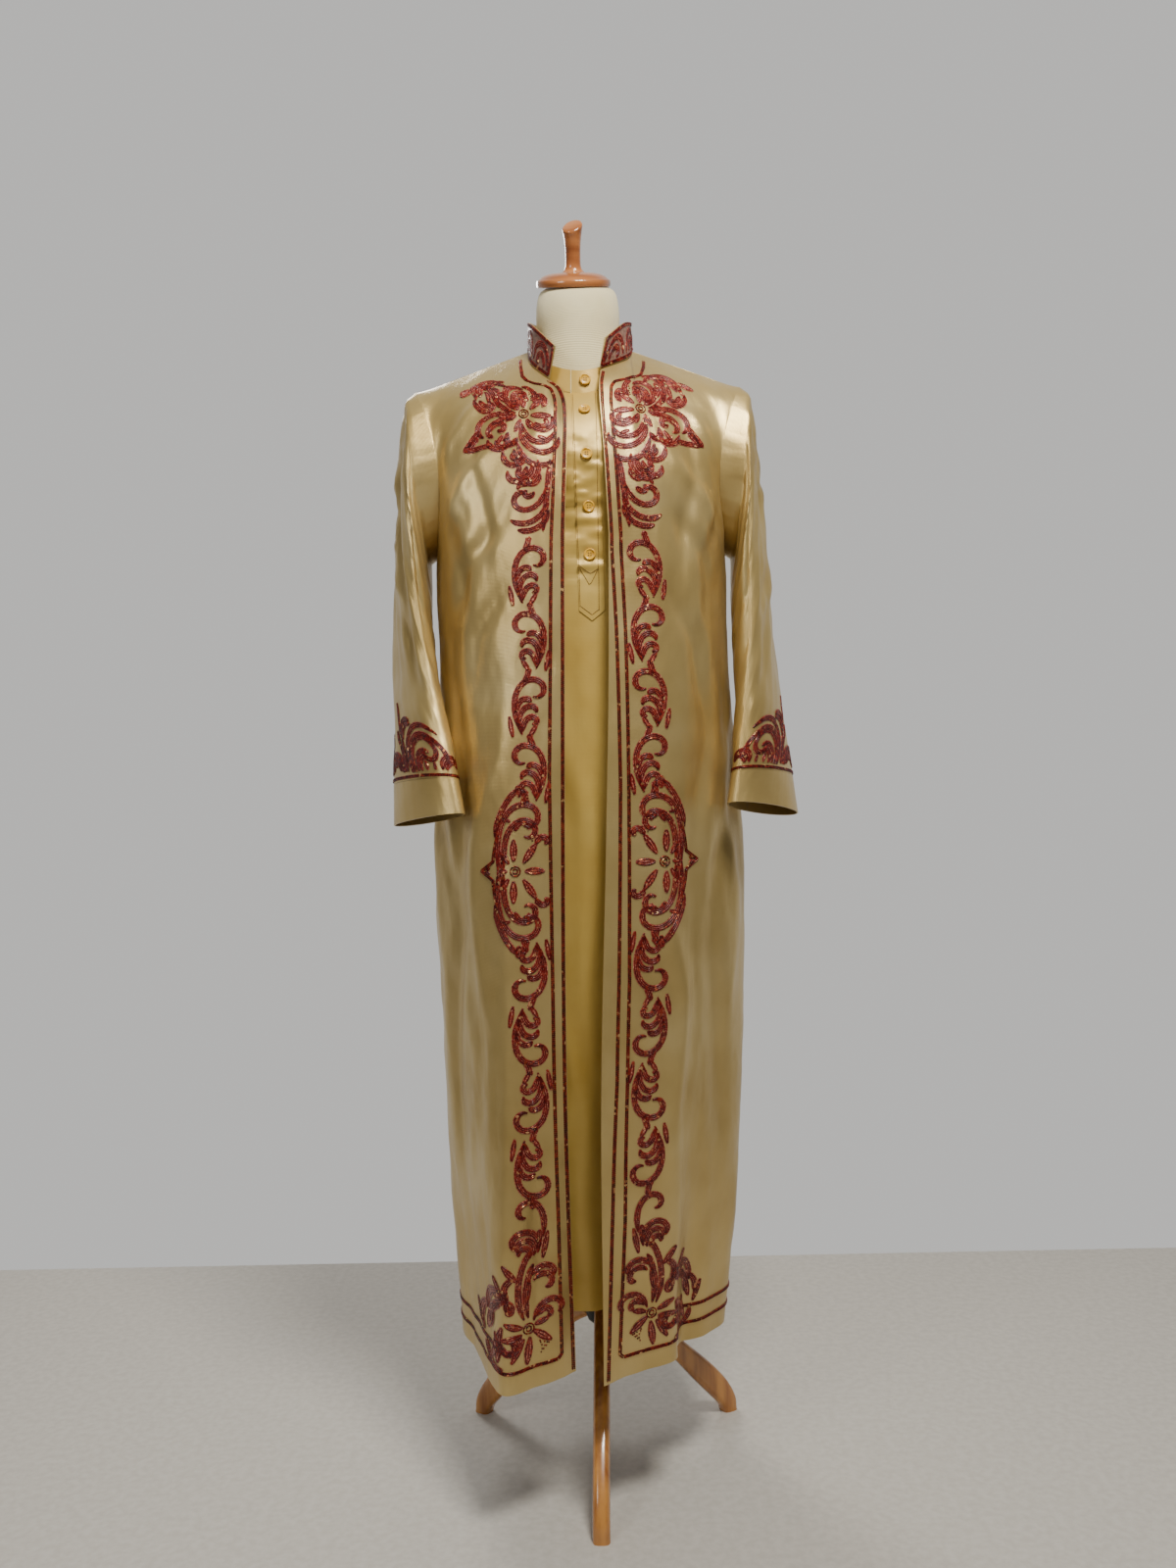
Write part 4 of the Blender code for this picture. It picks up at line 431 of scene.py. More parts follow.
# Crest on a cuff: a spiral with arcs over it, plumes and a point beside it, a small crest at the outer side
CUFF_STROKES = (
    (-12, 2, 115, 122, -150, -10), (-8, 2, 112, 138, -200, -40), (-3, 2, 108, 138, -180, -250),
    (3, 3, 105, 50, -110, -40), (10, 3, 105, 34, -100, -60), (-27, 50, 96, 48, -125, 0),
    (-22, 48, 92, 40, -115, 0),
    (-34, 4, 95, 52, 60, 150), (-38, 4, 95, 36, 70, 170), (-30, 4, 92, 40, 10, 0),
    (-44, 6, 100, 24, 60, 160),
    (-24, 4, 95, 46, 0, 0), (44, 4, 80, 44, -60, -150), (50, 4, 80, 30, -80, -160),
)
CUFF_LEAVES = ((-30, 54, 90, 44, 7), (-36, 40, 100, 22, 7), (20, 4, 90, 14, 7), (33, 4, 80, 12, 6))
# How far the crest's middle lies forward of the sleeve's outer line, where the hidden side's crest is, and
# the height of both above the cuff's seam, then of the bead line
CREST_SHIFT, BACK_CREST, CREST_Z = 0.022, 0.072, 0.008
CUFF_LINE = 0.005
# The collar: a pair of nested arcs, repeated, and the frame's inset, low and high line
COLLAR_STROKES = ((-13, 7, 92, 72, -170, -40), (-3, 7, 92, 40, -160, -120))
COLLAR_STEP = 0.042
COLLAR_INSET, COLLAR_LOW, COLLAR_HIGH = 0.003, 0.0035, 0.0395
LINE_HALF = 0.0005

# Looks: threads to the metre both ways, and colours as (place, red-green-blue)
WEAVE = (1500, 1200)
SATIN_COLOURS = ((0.25, (0.45, 0.31, 0.105)), (0.5, (0.55, 0.4, 0.155)), (0.75, (0.63, 0.48, 0.215)))
THOBE_COLOURS = ((0.3, (0.5, 0.31, 0.055)), (0.7, (0.64, 0.44, 0.11)))
BEAD_COLOURS = ((0.0, (0.038, 0.0015, 0.0015)), (0.4, (0.092, 0.003, 0.003)), (0.8, (0.18, 0.009, 0.006)),
                (0.95, (0.32, 0.05, 0.02)), (1.0, (0.8, 0.5, 0.22)))
BEAD_SHINE = ((0.88, (0, 0, 0)), (0.95, (0.8, 0.8, 0.8)))
# The stitches' pink, lighter here and there, is partly painted highlight.
STITCH_AND_HIGHLIGHT_COLOURS = ((0.34, (0.15, 0.01, 0.008)), (0.54, (0.36, 0.07, 0.045)), (0.72, (0.66, 0.3, 0.2)))
JERSEY_COLOURS = ((0.3, (0.74, 0.63, 0.34)), (0.7, (0.82, 0.72, 0.43)))
BACKDROP_COLOURS = ((0.0, (0.16, 0.155, 0.15)), (0.62, (0.76, 0.75, 0.73)))
BACKDROP_STRENGTH = 0.8

# Floor corners, lights (name, place, aim, size, watts, colour), and the camera of the photograph
FLOOR_LOW, FLOOR_HIGH = (-2.0, -2.2), (2.0, 0.72)
LIGHTS = (("key", (0.42, -1.1, 2.75), (0.0, 0.0, 1.3), 0.6, 60.0, (1.0, 0.97, 0.9)),
          ("fill", (-1.5, -1.9, 2.1), (0.0, 0.0, 1.0), 0.8, 14.0, (1.0, 0.98, 0.95)),
          ("back", (-0.8, 2.1, 2.5), (0.0, 0.0, 1.0), 0.9, 30.0, (1.0, 0.98, 0.95)))
CAMERA_PLACE = (0.0054, -1.74, 0.923)
CAMERA_ROLL = 0.0192
CAMERA_LENS, CAMERA_SENSOR = 28.87, 36.0


def frame_shift():
    """From the garment's own axes to the frame's, by the stand's pole."""
    low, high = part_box("stand_pole")
    return np.array([(low.x + high.x) / 2 - STAND_X, (low.y + high.y) / 2 - STAND_Y, 0.0])


SHIFT = frame_shift()


def unit(vectors):
    """The vectors at a length of one."""
    return vectors / np.maximum(np.linalg.norm(vectors, axis=-1, keepdims=True), 1e-9)


def run_of(points):
    """How far along a line each of its points lies."""
    return np.concatenate([[0], np.cumsum(np.linalg.norm(np.diff(points, axis=0), axis=1))])


def curve_through(knots, values, at):
    """A smooth curve through values at knots, read at each number in at."""
    knots, values, at = (np.asarray(a, float) for a in (knots, values, at))
    slopes = np.gradient(values, knots, axis=0)
    at = np.clip(at, knots[0], knots[-1])
    k = np.clip(np.searchsorted(knots, at, side="right") - 1, 0, len(knots) - 2)
    step = (knots[k + 1] - knots[k])[:, None]
    u = (at - knots[k])[:, None] / step
    start = (1 + 2 * u) * (1 - u) ** 2 * values[k] + u * (1 - u) ** 2 * step * slopes[k]
    end = u * u * (3 - 2 * u) * values[k + 1] - u * u * (1 - u) * step * slopes[k + 1]
    return start + end


def section(folds, z, hem=HEM_Z):
    """One horizontal row of a body panel, as SAMPLES points across its width."""
    table = np.asarray(folds, float)
    levels = (hem, *LEVELS[1:])
    lines = table[:, 1:].reshape(len(table), len(levels), 2).transpose(1, 0, 2).reshape(len(levels), -1)
    row = curve_through(levels, lines, [z])[0].reshape(len(table), 2)
    across = curve_through(table[:, 0], row, np.linspace(0, 1, SAMPLES))
    return np.column_stack([across, np.full(SAMPLES, z)])


def armhole(hole, t, side):
    """Points of an armhole from the underarm (t 0) up to the shoulder tip (t 1), on its front or back."""
    tip, under = np.asarray(hole["tip"]), np.asarray(hole["under"])
    angle = math.pi * (1 - np.asarray(t, float))
    points = (tip + under) / 2 + np.cos(angle)[:, None] * (tip - under) / 2
    forward = -1 if side == "front" else 1
    points[:, 1] += forward * hole[side] * np.sin(angle)
    points[:, 0] -= math.copysign(hole["hollow_" + side], tip[0]) * np.sin(angle) ** 2
    return points


def joined(*parts):
    """Curves, each a share range and its points, joined into one curve of SAMPLES points."""
    shares = np.linspace(0, 1, SAMPLES)
    out = np.empty((SAMPLES, 3))
    for low, high, points in parts:
        inside = (shares >= low) & (shares <= high)
        places = np.linspace(0, 1, len(points))
        out[inside] = curve_through(places, points, (shares[inside] - low) / (high - low))
    return out


def yoke(bottom, top, start, end, t):
    """One row of a panel above the underarm, between the rows below and above and its two side curves."""
    s = np.linspace(0, 1, SAMPLES)[:, None]
    ease = np.array([t * t * (3 - 2 * t), t ** 3, t])
    body = (1 - ease) * bottom + ease * top
    return body + (1 - s) ** SIDE_REACH * (start - body[0]) + s ** SIDE_REACH * (end - body[-1])


def read(row, shares):
    """A row of points read at shares of its width."""
    places = np.linspace(0, 1, len(row))
    return np.column_stack([np.interp(shares, places, row[:, k]) for k in range(3)])


def read_grid(grid, row, column):
    """A grid of numbers or points read between its rows and columns."""
    r = np.clip(row.astype(int), 0, grid.shape[0] - 2)
    c = np.clip(column.astype(int), 0, grid.shape[1] - 2)
    up, over = np.clip(row - r, 0, 1), np.clip(column - c, 0, 1)
    if grid.ndim == 3:
        up, over = up[:, None], over[:, None]
    low = (1 - over) * grid[r, c] + over * grid[r, c + 1]
    high = (1 - over) * grid[r + 1, c] + over * grid[r + 1, c + 1]
    return (1 - up) * low + up * high


class Cloth:
    """A panel of cloth as a grid of points. Rows rise from the hem, columns go across. It keeps its normals,
    and each point's distance across and along the panel."""

    def __init__(self, points, closed=False):
        self.points = np.asarray(points, float)
        self.closed = closed
        self.refresh()
        steps = np.linalg.norm(np.diff(self.points, axis=1), axis=2)
        self.across = np.concatenate([np.zeros((len(steps), 1)), np.cumsum(steps, axis=1)], axis=1)
        rises = np.linalg.norm(np.diff(self.points, axis=0), axis=2)
        self.along = np.concatenate([np.zeros((1, self.points.shape[1])), np.cumsum(rises, axis=0)], axis=0)

    def refresh(self):
        """Works out normals that point away from the body, or out of a sleeve."""
        if self.closed:
            inside = self.points.mean(axis=1, keepdims=True)
            across = np.roll(self.points, -1, 1) - np.roll(self.points, 1, 1)
        else:
            inside = self.points * (0, 0, 1) + (AXIS_X, 0, 0)
            across = np.gradient(self.points, axis=1)
        normals = unit(np.cross(across, np.gradient(self.points, axis=0)))
        outward = (normals * (self.points - inside)).sum()
        self.normals = normals if outward > 0 else -normals

    def push(self, depth):
        """Moves each point along its normal by a grid of depths."""
        self.points = self.points + depth[..., None] * self.normals
        self.refresh()

    def area(self):
        """The area of one face of the cloth."""
        a, b = self.points[:-1, :-1], self.points[1:, 1:]
        c, d = self.points[1:, :-1], self.points[:-1, 1:]
        return float(np.linalg.norm(np.cross(b - a, c - d), axis=2).sum() / 2)

    def cut(self):
        """The flat width and length that the panel was cut to."""
        return float(self.across[:, -1].max()), float(self.along[-1].max())


def soften(rows, join):
    """Rounds the slight turn in a panel where its yoke starts."""
    grid = np.array(rows)
    low, high = join - SOFT_ROWS, join + SOFT_ROWS
    near = slice(low, high)
    for _ in range(SOFT_TIMES):
        around = grid[low - 1 : high - 1, 1:-1] + grid[low + 1 : high + 1, 1:-1]
        grid[near, 1:-1] += 0.25 * (around - 2 * grid[near, 1:-1])
    return grid


def front_cloth(side):
    """A robe front from its hem to the neckline and shoulder, across from the front edge."""
    hole = ARMHOLES[side]
    edge = np.asarray(FRONT_EDGES[side])
    neck = (edge[-1][1], edge[-1][2], edge[-1][0])
    top = joined((0.0, CORNER_SHARE, [neck, NECKLINE_MIDDLE[side], SHOULDER_NECK[side]]),
                 (CORNER_SHARE, 1.0, [SHOULDER_NECK[side], hole["tip"]]))
    rows = [section(FRONT_FOLDS[side], z) for z in LOW]
    bottom = section(FRONT_FOLDS[side], UNDERARM_Z)
    for t in HIGH:
        z = UNDERARM_Z + t * (edge[-1][0] - UNDERARM_Z)
        x, y = curve_through(edge[:, 0], edge[:, 1:], [z])[0]
        rows.append(yoke(bottom, top, np.array([x, y, z]), armhole(hole, [t], "front")[0], t))
    even = np.linspace(0, 1, FRONT_COLUMNS)
    return Cloth(soften([read(row, even) for row in rows], len(LOW)))


def wide_rows(folds, holes, face, top, low, high, hem):
    """The rows of a panel that reaches from one armhole to the other."""
    bottom = section(folds, holes["right"]["under"][2], hem)
    sides = [(armhole(holes["right"], [t], face)[0], armhole(holes["left"], [t], face)[0], t) for t in high]
    return [section(folds, z, hem) for z in low] + [yoke(bottom, top, *ends) for ends in sides]


def neck_top(holes, corners, neck, low, high):
    """A panel's top edge: shoulder, neckline, shoulder."""
    return joined((0.0, low, [holes["right"]["tip"], corners["right"]]),
                  (low, high, [corners["right"], *neck, corners["left"]]),
                  (high, 1.0, [corners["left"], holes["left"]["tip"]]))


def back_cloth():
    """The robe's back, from the wearer's right to the left."""
    top = neck_top(ARMHOLES, SHOULDER_NECK, BACK_NECK, *BACK_CORNER_SHARES)
    rows = wide_rows(BACK_FOLDS, ARMHOLES, "back", top, LOW, HIGH, HEM_Z)
    even = np.linspace(0, 1, BACK_COLUMNS)
    return Cloth(soften([read(row, even) for row in rows], len(LOW)))


def thobe_cloth(face):
    """The thobe's front or back, from the wearer's right to the left."""
    neck = THOBE_NECK_FRONT if face == "front" else THOBE_NECK_BACK
    top = neck_top(THOBE_ARMHOLES, THOBE_SHOULDER_NECK, neck, THOBE_CORNER_SHARE, 1 - THOBE_CORNER_SHARE)
    rows = wide_rows(THOBE_FOLDS[face], THOBE_ARMHOLES, face, top, THOBE_LOW, THOBE_HIGH, THOBE_HEM_Z)
    even = np.linspace(0, 1, THOBE_COLUMNS)
    return Cloth([read(row, even) for row in rows])


def sleeve_cloth(side, steps, hole, rows, inner=False):
    """Rings of a sleeve at shares of its length, from the armhole itself down."""
    table = np.asarray(SLEEVE_RINGS[side])
    angles = np.array([math.pi * (1 - t) for t in rows[::-1]]
                      + [math.pi * (1 + t) for t in rows[1:-1]])
    first = np.concatenate([armhole(hole, rows[::-1], "front"), armhole(hole, rows, "back")[1:-1]])
    reach = THOBE_SLEEVE["blend"] if inner else table[0, 0]
    wide, deep = (THOBE_SLEEVE["outward"], THOBE_SLEEVE["forward"]) if inner else (1.0, 1.0)
    rings = []
    for step in steps:
        values = curve_through(table[:, 0], table[:, 1:], [max(step, table[0, 0])])[0]
        centre = values[:3] + (THOBE_SLEEVE["shift"] if inner else 0.0) * values[3:6]
        depth = np.where(np.sin(angles) < 0, values[9], 1.0) * np.sin(angles)
        ring = centre + np.cos(angles)[:, None] * wide * values[3:6] + depth[:, None] * deep * values[6:9]
        if step < reach:
            ring = (1 - step / reach) * first + step / reach * ring
        rings.append(np.roll(ring, len(ring) // 2, axis=0))
    return Cloth(rings, closed=True)


def collar_cloth(right, left, back):
    """The stand collar, from the neck edges of the fronts and the back up to its top edge."""
    corner = round(CORNER_SHARE * (FRONT_COLUMNS - 1))
    first, last = (round(share * (BACK_COLUMNS - 1)) for share in BACK_CORNER_SHARES)
    low = np.concatenate([right[-1, : corner + 1], back[-1, first + 1 : last], left[-1, corner::-1]])
    length = run_of(low)
    knots = run_of(COLLAR_TOP)
    even = np.linspace(0, 1, COLLAR_COLUMNS)
    low = np.column_stack([np.interp(even, length / length[-1], low[:, k]) for k in range(3)])
    high = curve_through(knots / knots[-1], COLLAR_TOP, even)
    low = low + np.array([0, 0, COLLAR_RISE])
    return Cloth([low + share * (high - low) for share in np.linspace(0, 1, COLLAR_ROWS)])


def band_cloth(front, back):
    """The thobe's neckband, from its overlapped end round the back to the buttoned end."""
    low = THOBE_CORNER_SHARE
    middle = slice(THOBE_COLUMNS // 3, 2 * THOBE_COLUMNS // 3)
    places = np.linspace(0, 1, THOBE_COLUMNS)[middle]
    edge = PLACKET_LINE[1][1] - PLACKET_HALF
    start, end = (np.interp(x, front[-1, middle, 0], places) for x in (edge - BAND_END_GAP, edge))
    seam = np.concatenate([read(front[-1], np.linspace(start, low, 30)),
                           read(back[-1], np.linspace(low, 1 - low, 50))[1:-1],
                           read(front[-1], np.linspace(1 - low, end, 40))])
    bottom = seam + np.array([0, 0, COLLAR_RISE])
    inward = unit(np.column_stack([AXIS_X - bottom[:, 0], -bottom[:, 1], np.zeros(len(bottom))]))
    top = bottom + BAND_INWARD * inward + np.array([0, 0, BAND_HEIGHT])
    return Cloth([bottom + share * (top - bottom) for share in np.linspace(0, 1, 9)])


def placket_cloth(front):
    """The buttoned strip: the thobe's own cloth down its middle, with a pointed lower end."""
    middle = slice(THOBE_COLUMNS // 3, 2 * THOBE_COLUMNS // 3)
    both = np.concatenate([front.points, front.normals], axis=2)
    columns = []
    for share in np.linspace(-1, 1, 17):
        line = []
        for row in both:
            wanted = np.interp(row[THOBE_COLUMNS // 2, 2], *PLACKET_LINE) + share * PLACKET_HALF
            line.append([np.interp(wanted, row[middle, 0], row[middle, k]) for k in range(6)])
        line = np.array(line)
        low = PLACKET_LINE[0][0] - PLACKET_TIP * (1 - abs(share))
        heights = low + (line[-1, 2] - low) * np.linspace(0, 1, 110)
        columns.append([[np.interp(z, line[:, 2], line[:, k]) for k in range(6)] for z in heights])
    grid = np.array(columns).transpose(1, 0, 2)
    return Cloth(grid[..., :3] + PLACKET_LIFT * grid[..., 3:])


def crease(cloth, heights, rows, start=0.0):
    """Soft troughs and ridges of a panel, each one along a line of its chart."""
    across = cloth.across - start
    up = np.repeat(np.asarray(heights)[:, None], across.shape[1], axis=1)
    depth = np.zeros(across.shape)
    for d0, h0, d1, h1, width, rise in rows:
        run = np.array([d1 - d0, h1 - h0])
        length = max(float(np.hypot(*run)), 1e-6)
        run /= length
        along = (across - d0) * run[0] + (up - h0) * run[1]
        beside = (up - h0) * run[0] - (across - d0) * run[1]
        share = np.clip(along / length, 0, 1)
        bend = 0.06 * length * np.sin(2.6 * share * math.pi + 40 * d0) * (1 - share)
        fade = np.sin(math.pi * np.clip((along / length + 0.12) / 1.24, 0, 1)) ** 1.3
        near = (beside - bend) / width
        depth += rise * fade * (np.exp(-near * near) - 0.35 * np.exp(-((near - 1.7) ** 2)))
    return depth


def rumple(cloth, heights, seed, size, amount, stretch=2.5):
    """A slight uneven hang: noise of that size, longer up than across."""
    rows, columns = cloth.across.shape
    out = np.empty((rows, columns))
    for r in range(rows):
        for c in range(columns):
            place = Vector((cloth.across[r, c] / size, heights[r] / (size * stretch), seed * 7.3))
            out[r, c] = noise.noise(place)
    return amount * out


def rumples(cloth, heights, rows, more=0):
    """The sum of several rumples, with their seeds moved on by a number."""
    return sum(rumple(cloth, heights, seed + more, *row) for seed, *row in rows)


def puckers(cloth, heights):
    """The small crosswise folds that the buttoned strip draws into the thobe between its buttons."""
    up = np.repeat(np.asarray(heights)[:, None], cloth.across.shape[1], axis=1)
    beside_strip = np.exp(-((cloth.across - PUCKER_MIDDLE) / PUCKER_REACH) ** 2)
    low, high = PUCKER_SPAN
    inside = np.clip((up - low) / 0.03, 0, 1) * np.clip((high - up) / 0.03, 0, 1)
    return PUCKER_DEPTH * inside * beside_strip * (rumple(cloth, heights, 31, 0.030, 1.0, 0.28)
                                                   + 0.6 * rumple(cloth, heights, 32, 0.016, 1.0, 0.30))


class Chart:
    """Places on a cloth by distance across it and height."""

    STEP = 0.001

    def __init__(self, cloth, heights):
        self.cloth = cloth
        self.heights = np.asarray(heights, float)
        reach = np.arange(0, cloth.across.max() + self.STEP, self.STEP)
        numbers = np.arange(cloth.across.shape[1])
        self.lookup = np.array([np.interp(reach, row, numbers) for row in cloth.across])

    def locate(self, d, h):
        """Rows and columns of the grid, as numbers with fractions."""
        order = np.argsort(self.heights)
        row = np.interp(h, self.heights[order], order)
        k = np.clip(np.asarray(d, float) / self.STEP, 0, self.lookup.shape[1] - 1.001)
        return row, read_grid(self.lookup, row, k)

    def at(self, d, h):
        """Points and normals at arrays of distances and heights."""
        row, column = self.locate(d, h)
        return read_grid(self.cloth.points, row, column), unit(read_grid(self.cloth.normals, row, column))


class FrontChart(Chart):
    """Places on a front as it is seen from straight ahead: distance from its edge, and height."""

    RISE = 0.002
    REACH = 0.20

    def __init__(self, cloth, side, shift=((0.0, 0.0), (2.0, 0.0))):
        self.cloth, self.shift = cloth, np.asarray(shift, float)
        rows, columns = cloth.points.shape[:2]
        levels = np.arange(HEM_Z, cloth.points[..., 2].max(), self.RISE)
        row_at = np.empty((len(levels), columns))
        x_at = np.empty_like(row_at)
        for c in range(columns):
            z = np.maximum.accumulate(cloth.points[:, c, 2])
            row_at[:, c] = np.interp(levels, z, np.arange(rows))
            x_at[:, c] = np.interp(levels, z, cloth.points[:, c, 0])
        sign = -1 if side == "right" else 1
        reach = np.arange(0, self.REACH, self.STEP)
        numbers = np.arange(columns)
        self.rows, self.columns = [], []
        for row, x in zip(row_at, x_at):
            out = np.maximum.accumulate(sign * (x - x[0])) + 1e-7 * numbers
            self.columns.append(np.interp(reach, out, numbers))
            self.rows.append(np.interp(self.columns[-1], numbers, row))
        self.rows, self.columns = np.array(self.rows), np.array(self.columns)

    def locate(self, d, h):
        d = np.asarray(d, float) + np.interp(h, self.shift[:, 0], self.shift[:, 1])
        level = np.clip((np.asarray(h, float) - HEM_Z) / self.RISE, 0, len(self.rows) - 1.001)
        k = np.clip(d / self.STEP, 0, self.rows.shape[1] - 1.001)
        return read_grid(self.rows, level, k), read_grid(self.columns, level, k)


def quads_of(index):
    """The quads between the rows and columns of a grid of vertex numbers."""
    return np.stack([index[:-1, :-1], index[:-1, 1:], index[1:, 1:], index[1:, :-1]], axis=-1).reshape(-1, 4)


class Build:
    """Collects vertices and faces of many small pieces into one mesh."""

    def __init__(self):
        self.vertices, self.faces, self.count = [], [], 0

    def tube(self, points, across, out, radii, sides):
        """Part of a tube along points, its open side down, whose radius changes from ring to ring."""
        angles = np.linspace(-0.12 * math.pi, 1.12 * math.pi, sides)
        cos, sin = np.cos(angles)[None, :, None], np.sin(angles)[None, :, None]
        self.sheet(points[:, None] + radii[:, None, None] * (cos * across[:, None] + sin * out[:, None]))

    def sheet(self, rings):
        """Quads through rows of points."""
        rows, columns = rings.shape[:2]
        self.vertices.append(rings.reshape(-1, 3))
        self.faces.append(quads_of(np.arange(rows * columns).reshape(rows, columns)) + self.count)
        self.count += rows * columns

    def object(self, name, material):
        return mesh_object(name, np.concatenate(self.vertices), np.concatenate(self.faces).tolist(), material)


def mesh_object(name, vertices, faces, material, uv=None, angle=None):
    """A mesh from points in the garment's own axes, moved into the frame's. Sharper edges than angle stay."""
    mesh = bpy.data.meshes.new(name)
    mesh.from_pydata((vertices + SHIFT).tolist(), [], faces)
    if uv is not None:
        layer = mesh.uv_layers.new(name="cut")
        loops = np.empty(len(mesh.loops), dtype=np.int32)
        mesh.loops.foreach_get("vertex_index", loops)
        layer.data.foreach_set("uv", np.asarray(uv, np.float32)[loops].ravel())
    mesh.shade_smooth()
    if angle is not None:
        mesh.set_sharp_from_angle(angle=math.radians(angle))
    mesh.materials.append(material)
    obj = bpy.data.objects.new(name, mesh)
    bpy.context.scene.collection.objects.link(obj)
    return obj


def shell(name, cloth, material, finish, solid, thickness=CLOTH, lift=0.0):
    """A panel as thin closed cloth in a solid's place: its outer face, its inner face, and its rims."""
    points, normals = cloth.points, cloth.normals
    outer, inner = points + lift * normals, points + (lift - thickness) * normals
    rows, columns = points.shape[:2]
    count = rows * columns
    index = np.arange(count).reshape(rows, columns)
    if cloth.closed:
        index = np.concatenate([index, index[:, :1]], axis=1)
    face = quads_of(index)
    edges = [(index[0, :-1], index[0, 1:]), (index[-1, 1:], index[-1, :-1])]
    if not cloth.closed:
        edges += [(index[1:, 0], index[:-1, 0]), (index[:-1, -1], index[1:, -1])]
    rims = [np.stack([start, start + count, end + count, end], axis=-1) for start, end in edges]
    faces = np.concatenate([face, face[:, ::-1] + count, *rims])
    a, b, c, _ = face[len(face) // 2]
    flat_outer = outer.reshape(-1, 3)
    facing = np.cross(flat_outer[b] - flat_outer[a], flat_outer[c] - flat_outer[a])
    if facing @ normals.reshape(-1, 3)[a] < 0:
        faces = faces[:, ::-1]
    flat = np.stack([cloth.across, cloth.along], axis=-1).reshape(-1, 2)
    piece = mesh_object(name, np.concatenate([flat_outer, inner.reshape(-1, 3)]), faces.tolist(), material,
                        np.concatenate([flat, flat]), 60)
    return settle(piece, finish, solid)


def wire(tree, made, **sockets):
    """Sets a node's sockets to values, or links them from other nodes' outputs."""
    for name, value in sockets.items():
        socket = made.inputs[name.replace("_", " ")]
        if isinstance(value, bpy.types.NodeSocket):
            tree.links.new(value, socket)
        else:
            socket.default_value = value


def node(tree, kind, **sockets):
    """A new shader node of that kind."""
    made = tree.nodes.new("ShaderNode" + kind)
    wire(tree, made, **sockets)
    return made


def shader_of(name, **sockets):
    """A new material, its node tree and its shader."""
    found = bpy.data.materials.new(name)
    found.use_nodes = True
    shader = found.node_tree.nodes["Principled BSDF"]
    wire(found.node_tree, shader, **sockets)
    return found, found.node_tree, shader


def ramp(tree, source, stops):
    """A colour for each value of the source, between those of the stops."""
    made = node(tree, "ValToRGB", Fac=source)
    while len(made.color_ramp.elements) < len(stops):
        made.color_ramp.elements.new(0.5)
    for element, (place, colour) in zip(made.color_ramp.elements, stops):
        element.position = place
        element.color = (*colour, 1)
    return made.outputs["Color"]


def noise_of(tree, coordinates, scale, detail=3.0, stretch=(1, 1, 1)):
    """The value of a noise texture over coordinates stretched along their axes."""
    mapping = node(tree, "Mapping", Vector=coordinates, Scale=stretch)
    return node(tree, "TexNoise", Vector=mapping.outputs["Vector"], Scale=scale, Detail=detail).outputs["Fac"]


def bump_of(tree, shader, heights, strength, distance):
    """The shader's bump, from the sum of those heights."""
    total = heights[0]
    for more in heights[1:]:
        both = node(tree, "Math")
        tree.links.new(total, both.inputs[0])
        tree.links.new(more, both.inputs[1])
        total = both.outputs[0]
    bump = node(tree, "Bump", Strength=strength, Distance=distance, Height=total)
    wire(tree, shader, Normal=bump.outputs["Normal"])
    return bump


def threads(tree, coordinates, per_metre, direction):
    """Close parallel threads in one direction."""
    wave = node(tree, "TexWave", Vector=coordinates, Scale=per_metre * math.pi / 20, Distortion=0.6)
    wave.bands_direction = direction
    return wave.outputs["Fac"]


def cloth_material(name, colours, rough, metal, weave_bump, crumple):
    """Woven cloth: cloudy colour, fine threads both ways and a soft unevenness."""
    found, tree, shader = shader_of(name, Roughness=rough, Metallic=metal)
    places = node(tree, "TexCoord").outputs
    flat = places["UV"]
    wire(tree, shader, Base_Color=ramp(tree, noise_of(tree, places["Object"], 9.0, 4.0), colours))
    warp, weft = (threads(tree, flat, count, way) for count, way in zip(WEAVE, "XY"))
    slub = noise_of(tree, flat, 90.0, 3.0, (1.0, 0.12, 1.0))
    fine = bump_of(tree, shader, (warp, weft, slub), weave_bump, 0.0004)
    folds = noise_of(tree, flat, 26.0, 2.5, (1.0, 0.38, 1.0))
    soft = node(tree, "Bump", Strength=crumple, Distance=0.004, Height=folds)
    wire(tree, fine, Normal=soft.outputs["Normal"])
    return found


def bead_material():
    """Dark red glass beads, no two the same, with some gold ones between them."""
    found, tree, shader = shader_of("red_beads", Roughness=0.36, Specular_IOR_Level=0.22, Coat_Weight=0.06,
                                    Coat_Roughness=0.08)
    cells = node(tree, "TexVoronoi", Vector=node(tree, "TexCoord").outputs["Object"], Scale=330)
    lot = node(tree, "SeparateColor", Color=cells.outputs["Color"]).outputs["Red"]
    wire(tree, shader, Base_Color=ramp(tree, lot, BEAD_COLOURS), Metallic=ramp(tree, lot, BEAD_SHINE))
    return found


def stitch_and_highlight_material():
    """The satin stitch beside the bead rows, dark red with pale pink here and there: the pink is partly the
    thread's own colour and partly painted highlight.
    """
    found, tree, shader = shader_of("pink_stitch_painted_highlight", Roughness=0.36, Metallic=0.15)
    solid = node(tree, "TexCoord").outputs["Object"]
    wire(tree, shader, Base_Color=ramp(tree, noise_of(tree, solid, 420.0, 2.0), STITCH_AND_HIGHLIGHT_COLOURS))
    bump_of(tree, shader, (noise_of(tree, solid, 900.0, 1.0),), 0.6, 0.0004)
    return found


def wood_material(name, dark, light, rough, stretch):
    """Varnished wood whose grain is stretched along the piece."""
    found, tree, shader = shader_of(name, Roughness=rough, Coat_Weight=0.6, Coat_Roughness=0.10)
    grain = noise_of(tree, node(tree, "TexCoord").outputs["Object"], 60.0, 6.0, stretch)
    wire(tree, shader, Base_Color=ramp(tree, grain, ((0.30, dark), (0.62, light))))
    bump_of(tree, shader, (grain,), 0.10, 0.0006)
    return found


